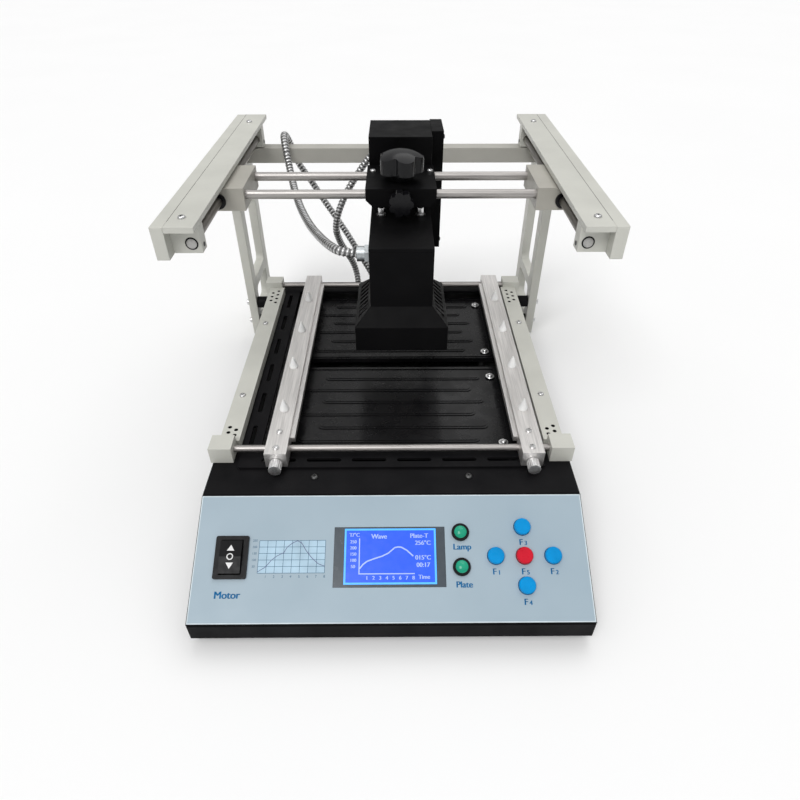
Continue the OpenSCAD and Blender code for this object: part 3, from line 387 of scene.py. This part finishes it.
def smooth_route(route, first, last):
    """Evenly set points on a Catmull-Rom curve through a part of a route, and its length."""
    pts = [Vector(p) for p in route]
    dense = []
    for i in range(first, last):
        before = pts[max(i - 1, 0)]
        after = pts[min(i + 2, len(pts) - 1)]
        a, b = pts[i], pts[i + 1]
        for k in range(CURVE_STEPS):
            t = k / CURVE_STEPS
            dense.append(0.5 * (2 * a + (b - before) * t + (2 * before - 5 * a + 4 * b - after) * t * t
                                + (3 * a - before - 3 * b + after) * t ** 3))
    dense.append(pts[last])
    lengths = [0.0]
    for a, b in zip(dense, dense[1:]):
        lengths.append(lengths[-1] + (b - a).length)
    count = max(2, round(lengths[-1] / RING_STEP))
    line = []
    k = 0
    for i in range(count + 1):
        want = lengths[-1] * i / count
        while k < len(dense) - 2 and lengths[k + 1] < want:
            k += 1
        step = lengths[k + 1] - lengths[k]
        line.append(dense[k].lerp(dense[k + 1], (want - lengths[k]) / step if step else 0.0))
    return line, lengths[-1]


def conduit(name, node, route, first, last, bodies):
    """One stretch of ribbed conduit, with a rib every four rings and painted shade in its grooves."""
    line, length = smooth_route(route, first, last)
    bm = bmesh.new()
    rings = []
    for i, point in enumerate(line):
        along = (line[min(i + 1, len(line) - 1)] - line[max(i - 1, 0)]).normalized()
        u = along.cross(ACROSS).normalized()
        w = along.cross(u)
        radius = CONDUIT_D / 2 - RIB_DEPTHS[i % len(RIB_DEPTHS)]
        ring = []
        for k in range(CONDUIT_SIDES):
            a = 2 * math.pi * k / CONDUIT_SIDES
            ring.append(bm.verts.new(spot(*(point + radius * (math.cos(a) * u + math.sin(a) * w)))))
        rings.append(ring)
    for i, (a, b) in enumerate(zip(rings, rings[1:])):
        for k in range(CONDUIT_SIDES):
            j = (k + 1) % CONDUIT_SIDES
            face = bm.faces.new((a[k], a[j], b[j], b[k]))
            # Groove rows take the dark metal: painted shade.
            face.material_index = 1 if i % len(RIB_DEPTHS) in SHADED_GROOVE_ROWS else 0
    bmesh.ops.recalc_face_normals(bm, faces=bm.faces)
    obj = make(name, bm, conduit_metal, smooth=60)
    obj.data.materials.append(conduit_groove_shade)
    if len(bodies) == 2:
        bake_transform(obj)
    else:
        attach(obj, bodies[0])
    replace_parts(obj, node)


conduit("lamp_conduit_a", "lamp_conduit", LAMP_ROUTE, 0, 3, ["lamp", "head"])
conduit("lamp_conduit_b", "lamp_conduit", LAMP_ROUTE, 3, 7, ["head", "gantry"])
conduit("lamp_conduit_c", "lamp_conduit", LAMP_ROUTE, 7, 10, ["gantry", "frame"])
conduit("lamp_conduit_d", "lamp_conduit", LAMP_ROUTE, 10, 27, ["frame"])
conduit("motor_conduit_a", "motor_conduit", MOTOR_ROUTE, 0, 6, ["head", "gantry"])
conduit("motor_conduit_b", "motor_conduit", MOTOR_ROUTE, 6, 10, ["gantry", "frame"])
conduit("motor_conduit_c", "motor_conduit", MOTOR_ROUTE, 10, 17, ["frame"])

# Shapes for small details

TURNED_SIDES = 28
SHARP = 35
SUNK = 0.3
RING_H = 0.8
MITRE_LIMIT = 0.4
BOLD_LIFT = 0.02


def lathe(bm, matrix, profile, sides=TURNED_SIDES):
    """A turned shape from (radius, height) pairs in millimetres, closed below; gives its top ring."""
    rings = []
    for radius, z in profile:
        ring = []
        for k in range(sides):
            a = 2 * math.pi * k / sides
            ring.append(bm.verts.new(matrix @ (Vector((radius * math.cos(a), radius * math.sin(a), z)) * MM)))
        rings.append(ring)
    for a, b in zip(rings, rings[1:]):
        for k in range(sides):
            j = (k + 1) % sides
            bm.faces.new((a[k], a[j], b[j], b[k]))
    bm.faces.new(list(reversed(rings[0])))
    return rings[-1]


def cross_recess(radius):
    """Outline of the cross in a screw head of a given radius."""
    a, b = 0.5 * radius, 0.14 * radius
    outline = []
    for c, d in ((1, 0), (0, 1), (-1, 0), (0, -1)):
        outline += [(c * x - d * y, d * x + c * y) for x, y in ((a, b), (b, b), (b, a))]
    return outline


def hexagon_recess(radius):
    """Outline of the socket in a cap screw of a given radius."""
    size = 0.52 * radius
    return [(size * math.cos(math.pi * k / 3), size * math.sin(math.pi * k / 3)) for k in range(6)]


def screw(bm, matrix, radius, h, hexagon):
    """A screw head with a real recess: a cross, or a hexagon in a cap screw."""
    if hexagon:
        profile = [(radius, -SUNK), (radius, 0.86 * h), (0.9 * radius, h)]
        outline = hexagon_recess(radius)
    else:
        profile = [(radius, -SUNK), (radius, 0.3 * h), (0.9 * radius, 0.7 * h), (0.64 * radius, h)]
        outline = cross_recess(radius)
    rim = lathe(bm, matrix, profile)
    upper = [bm.verts.new(matrix @ (Vector((x, y, h)) * MM)) for x, y in outline]
    lower = [bm.verts.new(matrix @ (Vector((0.85 * x, 0.85 * y, 0.3 * h)) * MM)) for x, y in outline]
    count = len(outline)
    for k in range(count):
        j = (k + 1) % count
        bm.faces.new((upper[j], upper[k], lower[k], lower[j]))
    bm.faces.new(lower)
    edges = [bm.edges.get((rim[k], rim[(k + 1) % len(rim)])) for k in range(len(rim))]
    edges += [bm.edges.get((upper[k], upper[(k + 1) % count])) for k in range(count)]
    bmesh.ops.triangle_fill(bm, use_beauty=True, edges=edges)


def washer(bm, matrix, inner, outer, h):
    """A flat ring with a chamfered rim."""
    profile = [(inner, -0.2), (outer, -0.2), (outer, 0.7 * h), (outer - 0.25, h), (inner, h)]
    bm.faces.new(lathe(bm, matrix, profile))


def turned(name, bm, material, body):
    """Makes a piece of turned shapes, with outward faces and crisp edges."""
    bmesh.ops.recalc_face_normals(bm, faces=bm.faces)
    make(name, bm, material, body, smooth=SHARP)


def fasteners(name, body, places, material, radius, h, normal=UP, hexagon=False, ring=None):
    """A set of alike screws on one body, each on a washer if a ring size is given."""
    bm = bmesh.new()
    for place in places:
        matrix = facing(spot(*place), normal)
        lift = 0
        if ring:
            washer(bm, matrix, 0.6 * radius, ring, RING_H)
            lift = RING_H
        screw(bm, matrix @ Matrix.Translation((0, 0, lift * MM)), radius, h, hexagon)
    turned(name, bm, material, body)


def flat(bm, matrix, points):
    """One filled outline in a matrix's plane, in millimetres."""
    bm.faces.new([bm.verts.new(matrix @ (Vector((x, y, 0)) * MM)) for x, y in points])


def stroke(bm, matrix, points, width, closed=False):
    """A printed line of even width through points, mitred at its corners."""
    pts = [Vector(p) for p in points]
    count = len(pts)
    left, right = [], []
    for i, p in enumerate(pts):
        before = pts[i - 1] if i or closed else None
        after = pts[(i + 1) % count] if i + 1 < count or closed else None
        normals = []
        for a, b in ((before, p), (p, after)):
            if a is not None and b is not None:
                d = (b - a).normalized()
                normals.append(Vector((-d.y, d.x)))
        n = sum(normals, Vector((0, 0))).normalized()
        n *= width / 2 / max(MITRE_LIMIT, n.dot(normals[0]))
        left.append(bm.verts.new(matrix @ (Vector((*(p + n), 0)) * MM)))
        right.append(bm.verts.new(matrix @ (Vector((*(p - n), 0)) * MM)))
    for i in range(count if closed else count - 1):
        j = (i + 1) % count
        bm.faces.new((left[i], right[i], right[j], left[j]))


def box_line(x0, y0, x1, y1):
    """Corners of an upright rectangle."""
    return [(x0, y0), (x1, y0), (x1, y1), (x0, y1)]


def words(bm, matrix, text, x, y, size, weight=0.0):
    """Lettering centred at x and y in a matrix's plane; weight sets copies apart to make it bold."""
    curve = bpy.data.curves.new("words", "FONT")
    curve.body = text
    curve.size = size * MM
    curve.align_x = "CENTER"
    curve.align_y = "CENTER"
    holder = bpy.data.objects.new("words", curve)
    for shift in ((-weight, 0, weight) if weight else (0,)):
        mesh = holder.to_mesh()
        mesh.transform(matrix @ Matrix.Translation(Vector((x + shift, y, abs(shift) * BOLD_LIFT)) * MM))
        bm.from_mesh(mesh)
        holder.to_mesh_clear()
    bpy.data.objects.remove(holder)
    bpy.data.curves.remove(curve)


# Fasteners

STUD_PROFILE = [(4.6, 0.05), (4.6, 0.95), (2.9, 1.0), (2.9, 6.4), (2.5, 7.4), (1.2, 7.7)]
ROD_END_PROFILE = [(4.0, -SUNK), (4.0, 0.5), (3.5, 0.8)]
BOLTS_AT = ((424, 23), (424, 49), (483.2, 210.7), (BLOCK_FRONT_Y, 231), (BLOCK_REAR_Y, 232))

cover_at = [(side * x, y, COVER_TOP_Z) for x, y in ((63, 105), (105, 431)) for side in (-1, 1)]
fasteners("cover_screws", "frame", cover_at, screw_dark, radius=3, h=1.8)
rail_at = [(x, y, RAIL_TOP_Z) for x in (-139.2, 139.2) for y in (200.8, 326.6)]
fasteners("rail_screws", "frame", rail_at, screw_metal, radius=2.9, h=1.7)
for label, x in (("left", -94.7), ("right", 116)):
    bar_at = [(x, y, BAR_TOP_Z) for y in (121, 140.5)]
    fasteners(f"{label}_bar_screws", f"{label}_clamp", bar_at, screw_metal, radius=2.6, h=1.4, hexagon=True)
arm_at = [(x, y, ARM_TOP_Z) for x in (-159.3, 159.3) for y in (209.5, 481)]
fasteners("rail_cover_screws", "frame", arm_at, screw_metal, radius=3.2, h=1.9)
carriage_at = [(x, 335.5, CARRIAGE_TOP_Z) for x in (-16.9, 36.5)]
fasteners("carriage_screws", "head", carriage_at, screw_metal, radius=2.8, h=1.9)
plate_at = [(x, y, PLATE_PAD_Z) for x in (-98.5, 98.5) for y in (150, 247, 291, 388)]
fasteners("plate_screws", "frame", plate_at, screw_metal, radius=2.7, h=1.7, ring=4.4)
hood_at = [(HOOD_SIDE_X, 246, z) for z in (188, 162)]
fasteners("hood_screws", "lamp", hood_at, screw_metal, radius=1.8, h=1.1, normal=RIGHT)
lift_at = [(LIFT_COVER_X, y, z) for z in (258, 153) for y in (378, 410)]
fasteners("lift_cover_screws", "head", lift_at, screw_dark, radius=2.2, h=1.3, normal=RIGHT)

bm = bmesh.new()
for x in (-9, 27):
    bm.faces.new(lathe(bm, facing(spot(x, 301, BRACKET_TOP_Z), UP), STUD_PROFILE))
turned("bracket_studs", bm, screw_metal, "lamp")

rod_ends = [facing(spot(x, ARM_FRONT_Y, Y_ROD_Z), FRONT) for x in (-Y_ROD_X, Y_ROD_X)]
bm = bmesh.new()
for place in rod_ends:
    bm.faces.new(lathe(bm, place, ROD_END_PROFILE))
turned("rod_end_faces", bm, rod_end_steel, "frame")
# A black ring round each rod end is painted shade in the gap of its bore.
bm = bmesh.new()
for place in rod_ends:
    washer(bm, place, inner=4.0, outer=5.1, h=0.25)
turned("rod_end_shade_rings", bm, plastic_black, "frame")

for side, label in ((-1, "left"), (1, "right")):
    bolt_at = [(side * FRAME_OUTER_X, y, z) for y, z in BOLTS_AT]
    fasteners(
        f"{label}_frame_bolts", "frame", bolt_at, screw_metal, radius=3.6, h=3.4,
        normal=(side, 0, 0), hexagon=True,
    )
    set_at = [(side * END_BLOCK_X, y, 225) for y in (BLOCK_FRONT_Y, BLOCK_REAR_Y)]
    fasteners(
        f"{label}_set_screws", "frame", set_at, screw_dark, radius=1.9, h=0.5,
        normal=(-side, 0, 0), hexagon=True,
    )
motor_at = [(x, MOTOR_BACK_Y, z) for x in (-16.5, 34.5) for z in (228, 259.5)]
fasteners("motor_box_screws", "head", motor_at, screw_dark, radius=2.2, h=1.3, normal=BACK)

# Black cups in the rail holes are painted shade, as the holes open into the dark inside of the rail

HOLE_X, HOLE_STEP_X = 135.5, 6
FRONT_HOLE_Y, FRONT_HOLE_STEP, FRONT_HOLES = 146.5, 3.4, 4
REAR_HOLE_Y, REAR_HOLE_STEP, REAR_HOLES = 399, -4.4, 7
HOLE_SHADE_CUP = [(1.72, -5.9), (1.72, -0.25)]
HOLE_SHADE_SIDES = 20


def zigzag(first, step, count):
    """Places of a zigzag row of holes along a rail."""
    return [(HOLE_X + i % 2 * HOLE_STEP_X, first + i * step) for i in range(count)]


bm = bmesh.new()
for side in (-1, 1):
    holes = zigzag(FRONT_HOLE_Y, FRONT_HOLE_STEP, FRONT_HOLES)
    holes += zigzag(REAR_HOLE_Y, REAR_HOLE_STEP, REAR_HOLES)
    for x, y in holes:
        lathe(bm, facing(spot(side * x, y, RAIL_TOP_Z), UP), HOLE_SHADE_CUP, HOLE_SHADE_SIDES)
make("rail_hole_shade", bm, plastic_black, "frame", smooth=40)

# Lift screw with a four-start thread

SCREW_R, THREAD_H, LEAD, STARTS = 4.0, 0.7, 8.0, 4
THREAD_SIDES, THREAD_STEP = 32, 0.4
FLANK, CREST = 3, 0.4

low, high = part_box("lift_screw")
axis_x, axis_y = (low[0] + high[0]) / 2, (low[1] + high[1]) / 2
rows = 1 + round((high[2] - low[2]) / MM / THREAD_STEP)
bm = bmesh.new()
grid = []
for i in range(rows):
    z = low[2] + (high[2] - low[2]) * i / (rows - 1)
    ring = []
    for k in range(THREAD_SIDES):
        a = 2 * math.pi * k / THREAD_SIDES
        phase = (STARTS * (z / MM / LEAD - k / THREAD_SIDES)) % 1.0
        depth = THREAD_H * min(1.0, max(0.0, FLANK * abs(phase - 0.5) - CREST))
        radius = (SCREW_R - depth) * MM
        ring.append(bm.verts.new((axis_x + radius * math.cos(a), axis_y + radius * math.sin(a), z)))
    grid.append(ring)
for a, b in zip(grid, grid[1:]):
    for k in range(THREAD_SIDES):
        j = (k + 1) % THREAD_SIDES
        bm.faces.new((a[k], a[j], b[j], b[k]))
bm.faces.new(list(reversed(grid[0])))
bm.faces.new(grid[-1])
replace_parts(make("lift_thread", bm, rod_z_steel, "lift_screw", smooth=50), "lift_screw")

# Pins in the mains inlet

INLET_X, PIN_Y = 95, 431.6
PIN_SIZE = Vector((2.0, 9.5, 4.0)) * MM
PIN_TIP_R = 0.6

bm = bmesh.new()
for x, z in ((-7, 36.5), (0, 40.5), (7, 36.5)):
    made = bmesh.ops.create_cube(bm, size=1.0)["verts"]
    bmesh.ops.scale(bm, vec=PIN_SIZE, verts=made)
    bmesh.ops.translate(bm, vec=spot(INLET_X + x, PIN_Y, z), verts=made)
tips = [e for e in bm.edges if all(v.co.y > spot(0, PIN_Y, 0).y for v in e.verts)]
bmesh.ops.bevel(bm, geom=tips, offset=PIN_TIP_R * MM, segments=2, affect="EDGES")
make("inlet_pins", bm, screw_metal, "frame", smooth=SHARP)

# Panel print, in thin layers above the overlay


def layer(h):
    """The panel's plane, h millimetres above its overlay."""
    return on_panel(0, 0, OVERLAY_T + h)


FIELD, GLASS, FACE, INK = layer(0.02), layer(0.03), layer(0.04), layer(0.07)
OVERLAY_EDGE = box_line(-149.0, 1.2, 149.0, 95.4)
PANEL_WORDS = [
    ("Motor", -122, 20.8, 7.4, 0.3), ("Lamp", 54, 55.2, 6.4, 0.25), ("Plate", 54.5, 27.4, 6.4, 0.25),
]
KEYS_X, KEYS_S, KEY_PITCH = 101, 48.3, 21.8
KEY_CELLS = {"1": (-1, 0), "2": (1, 0), "3": (0, 1), "4": (0, -1), "5": (0, 0)}
LETTER_X, LETTER_S, LETTER_SIZE, LETTER_WEIGHT = -1.6, -11.7, 6.4, 0.22
DIGIT_X, DIGIT_S, DIGIT_SIZE, DIGIT_WEIGHT = 2.0, -12.3, 4.6, 0.18

bm = bmesh.new()
stroke(bm, FACE, OVERLAY_EDGE, width=0.8, closed=True)
make("overlay_edge", bm, print_pale, "frame")

bm = bmesh.new()
for text, x, s, size, weight in PANEL_WORDS:
    words(bm, FACE, text, x, s, size, weight)
for digit, (column, row) in KEY_CELLS.items():
    x, s = KEYS_X + column * KEY_PITCH, KEYS_S + row * KEY_PITCH
    words(bm, FACE, "F", x + LETTER_X, s + LETTER_S, LETTER_SIZE, LETTER_WEIGHT)
    words(bm, FACE, digit, x + DIGIT_X, s + DIGIT_S, DIGIT_SIZE, DIGIT_WEIGHT)
make("panel_words", bm, print_blue, "frame")

GRID_X0, GRID_X1, GRID_S0, GRID_S1 = -101, -50.5, 36.6, 60.8
COLUMNS, ROWS, ROW_HEAT = 8, 5, 50
CELL_X, CELL_S = (GRID_X1 - GRID_X0) / COLUMNS, (GRID_S1 - GRID_S0) / ROWS
GRID_LINE = 0.32
GRID_TIMES_S, GRID_TIMES_SIZE = GRID_S0 - 2.6, 2.7
GRID_HEATS_X, GRID_HEATS_SIZE = GRID_X0 - 3.4, 2.4
PROFILE = [
    (0, 0.2), (0.9, 0.9), (1.6, 2.0), (2.2, 2.6), (3, 3.1), (3.4, 4), (4, 4.6),
    (4.6, 4.95), (5.1, 4.6), (5.7, 3.4), (6.4, 2.3), (7.2, 1.4), (8, 1),
]

bm = bmesh.new()
flat(bm, FIELD, box_line(GRID_X0, GRID_S0, GRID_X1, GRID_S1))
bmesh.ops.subdivide_edges(bm, edges=bm.edges, cuts=4, use_grid_fill=True)
make("panel_grid_field", bm, print_cell, "frame")
bm = bmesh.new()
for i in range(COLUMNS + 1):
    x = GRID_X0 + CELL_X * i
    stroke(bm, FACE, [(x, GRID_S0), (x, GRID_S1)], GRID_LINE)
for i in range(ROWS + 1):
    s = GRID_S0 + CELL_S * i
    stroke(bm, FACE, [(GRID_X0, s), (GRID_X1, s)], GRID_LINE)
for i in range(1, COLUMNS + 1):
    words(bm, FACE, str(i), GRID_X0 + CELL_X * i, GRID_TIMES_S, GRID_TIMES_SIZE)
for i in range(1, ROWS + 1):
    words(bm, FACE, str(i * ROW_HEAT), GRID_HEATS_X, GRID_S0 + CELL_S * i, GRID_HEATS_SIZE)
make("panel_grid", bm, print_line, "frame")
bm = bmesh.new()
stroke(bm, INK, [(GRID_X0 + u * CELL_X, GRID_S0 + v * CELL_S) for u, v in PROFILE], width=0.4)
make("panel_profile", bm, print_curve, "frame")

# Rocker symbols follow the two slopes of the cap

ROCKER_X, ROCKER_S = -121.5, 48.3
ROOF_H, ROOF_DROP, ROOF_HALF = 5.63, 1.4, 12.2
ARROW = [(0, 8.9), (-2.8, 4.4), (2.8, 4.4)]
RING_INNER, RING_OUTER, RING_SIDES = 1.7, 2.5, 32


def rocker_point(x, s):
    """A point just above the rocker's roof, from its middle."""
    return on_panel(ROCKER_X + x, ROCKER_S + s, ROOF_H - ROOF_DROP * abs(s) / ROOF_HALF).translation


bm = bmesh.new()
for way in (-1, 1):
    bm.faces.new([bm.verts.new(rocker_point(x, way * s)) for x, s in ARROW])
inner, outer = [], []
for k in range(RING_SIDES):
    a = 2 * math.pi * k / RING_SIDES
    inner.append(bm.verts.new(rocker_point(RING_INNER * math.cos(a), RING_INNER * math.sin(a))))
    outer.append(bm.verts.new(rocker_point(RING_OUTER * math.cos(a), RING_OUTER * math.sin(a))))
for k in range(RING_SIDES):
    j = (k + 1) % RING_SIDES
    bm.faces.new((inner[k], outer[k], outer[j], inner[j]))
bmesh.ops.recalc_face_normals(bm, faces=bm.faces)
make("rocker_symbols", bm, print_white, "rocker")

# Display picture

DISPLAY_FIELD = box_line(-36, 28, 34, 69.5)
DISPLAY_EDGE = box_line(-35.3, 28.7, 33.3, 68.8)
AXES = [(-24.5, 62), (-24.5, 35.7), (17.5, 35.7)]
TIMES_X, TIMES_STEP, TIMES_S = -23.5, 5, 32.6
HEATS_X, HEATS_S, HEATS_STEP = -29.2, 36.4, 4.6
DISPLAY_WORDS = [
    ("T/°C", -28.4, 64.6, 4.0, 0.15), ("Wave", -9.5, 63.4, 5.0, 0.18), ("Plate-T", 21.2, 63.8, 4.8, 0.15),
    ("256°C", 24, 58.4, 4.6, 0.15), ("015°C", 24, 47.4, 4.6, 0.15), ("00:17", 24, 42, 4.6, 0.15),
    ("Time", 24.6, 33.2, 4.2, 0.15),
]
TRACE = [
    (-24.1, 39.5), (-21.6, 42.6), (-18.5, 44.9), (-12.9, 46.9), (-7.3, 48.6), (-2.4, 50.9),
    (2.5, 55), (5, 55.5), (7.4, 55.3), (11.6, 53), (16.5, 48.6),
]

bm = bmesh.new()
flat(bm, GLASS, DISPLAY_FIELD)
bmesh.ops.subdivide_edges(bm, edges=bm.edges, cuts=6, use_grid_fill=True)
make("display_field", bm, display_blue, "frame")
bm = bmesh.new()
stroke(bm, INK, DISPLAY_EDGE, width=1.4, closed=True)
make("display_edge", bm, display_cyan, "frame")
bm = bmesh.new()
stroke(bm, INK, AXES, width=0.8)
for i in range(1, COLUMNS + 1):
    words(bm, INK, str(i), TIMES_X + i * TIMES_STEP, TIMES_S, size=3.8, weight=0.15)
for i in range(1, ROWS + 1):
    words(bm, INK, str(i * ROW_HEAT), HEATS_X, HEATS_S + i * HEATS_STEP, size=3.3, weight=0.12)
for text, x, s, size, weight in DISPLAY_WORDS:
    words(bm, INK, text, x, s, size, weight)
stroke(bm, INK, TRACE, width=1.0)
make("display_ink", bm, display_white, "frame")

# Seams and edges

EDGE_ANGLE = 38
WELD_GAP = 0.000002
SEAM_W, SEAM_DEPTH, SEAM_INSET = 0.9, 0.06, 0.4


def soften(names, width):
    """Small rounded edges on CAD pieces, so that seams between neighbours catch the light."""
    for name in names:
        weld = nodes[name].modifiers.new("weld", "WELD")
        weld.merge_threshold = WELD_GAP
        bevel = nodes[name].modifiers.new("bevel", "BEVEL")
        bevel.width = width * MM
        bevel.segments = 2
        bevel.limit_method = "ANGLE"
        bevel.angle_limit = math.radians(EDGE_ANGLE)
        bevel.harden_normals = False


soften(["rail_covers", "rod_end_blocks", "back_beam", "left_rail", "right_rail", "rod_blocks"], 0.45)
soften(["base_cover", "base_tub", "slot_frame", "x_carriage", "motor_box", "lift_cover"], 0.5)
soften(["left_side_frame", "right_side_frame", "y_carriages", "lamp_hood"], 0.6)

# Dark strips where the rail covers meet the side frames are painted shade in the seam.
bm = bmesh.new()
for side in (-1, 1):
    seam = Matrix.Translation(spot(side * FRAME_INNER_X, 0, ARM_TOP_Z - SEAM_DEPTH))
    stroke(bm, seam, [(0, ARM_FRONT_Y + SEAM_INSET), (0, ARM_REAR_Y - SEAM_INSET)], SEAM_W)
make("cover_seam_shade", bm, seam_shade, "frame")

# Floor and light

FLOOR_HALF = 30.0
HORIZON, ZENITH, ZENITH_AT = 0.3, 1.0, 0.75
SKY_STRENGTH = 0.72
BACKDROP = 0.94

floor_shader = Shader("floor_white", grey(0.9), rough=0.8, Specular_IOR_Level=0.1)
floor_shader.tint(floor_shader.noise(3, detail=2), grey(0.895), grey(0.905))
bm = bmesh.new()
bmesh.ops.create_grid(bm, x_segments=4, y_segments=4, size=FLOOR_HALF)
floor = make("floor", bm, floor_shader.material)


def sun(name, place, strength, softness):
    """A soft sun that shines from a place towards the part."""
    data = bpy.data.lights.new(name, "SUN")
    data.energy = strength
    data.angle = math.radians(softness)
    obj = bpy.data.objects.new(name, data)
    obj.location = place
    obj.rotation_euler = Vector(place).to_track_quat("Z", "Y").to_euler()
    scene.collection.objects.link(obj)


sun("key_sun", (-0.5, -0.9, 1.4), strength=1.3, softness=30)
sun("back_sun", (0.3, 0.9, 1.5), strength=0.55, softness=45)

# The sky lights the part, mostly from above; the camera itself sees a plain pale backdrop

world = bpy.data.worlds.new("studio")
scene.world = world
world.use_nodes = True
sky = world.node_tree
where = sky.nodes.new("ShaderNodeTexCoord")
split = sky.nodes.new("ShaderNodeSeparateXYZ")
height = sky.nodes.new("ShaderNodeValToRGB")
height.color_ramp.elements[0].position = 0.0
height.color_ramp.elements[0].color = (*grey(HORIZON), 1)
height.color_ramp.elements[1].position = ZENITH_AT
height.color_ramp.elements[1].color = (*grey(ZENITH), 1)
sky_light = sky.nodes["Background"]
sky_light.inputs["Strength"].default_value = SKY_STRENGTH
backdrop = sky.nodes.new("ShaderNodeBackground")
backdrop.inputs["Color"].default_value = (*grey(BACKDROP), 1)
rays = sky.nodes.new("ShaderNodeLightPath")
shown = sky.nodes.new("ShaderNodeMixShader")
sky.links.new(where.outputs["Generated"], split.inputs["Vector"])
sky.links.new(split.outputs["Z"], height.inputs["Fac"])
sky.links.new(height.outputs["Color"], sky_light.inputs["Color"])
sky.links.new(rays.outputs["Is Camera Ray"], shown.inputs["Fac"])
sky.links.new(sky_light.outputs["Background"], shown.inputs[1])
sky.links.new(backdrop.outputs["Background"], shown.inputs[2])
sky.links.new(shown.outputs["Shader"], sky.nodes["World Output"].inputs["Surface"])
scene.view_settings.view_transform = "Standard"
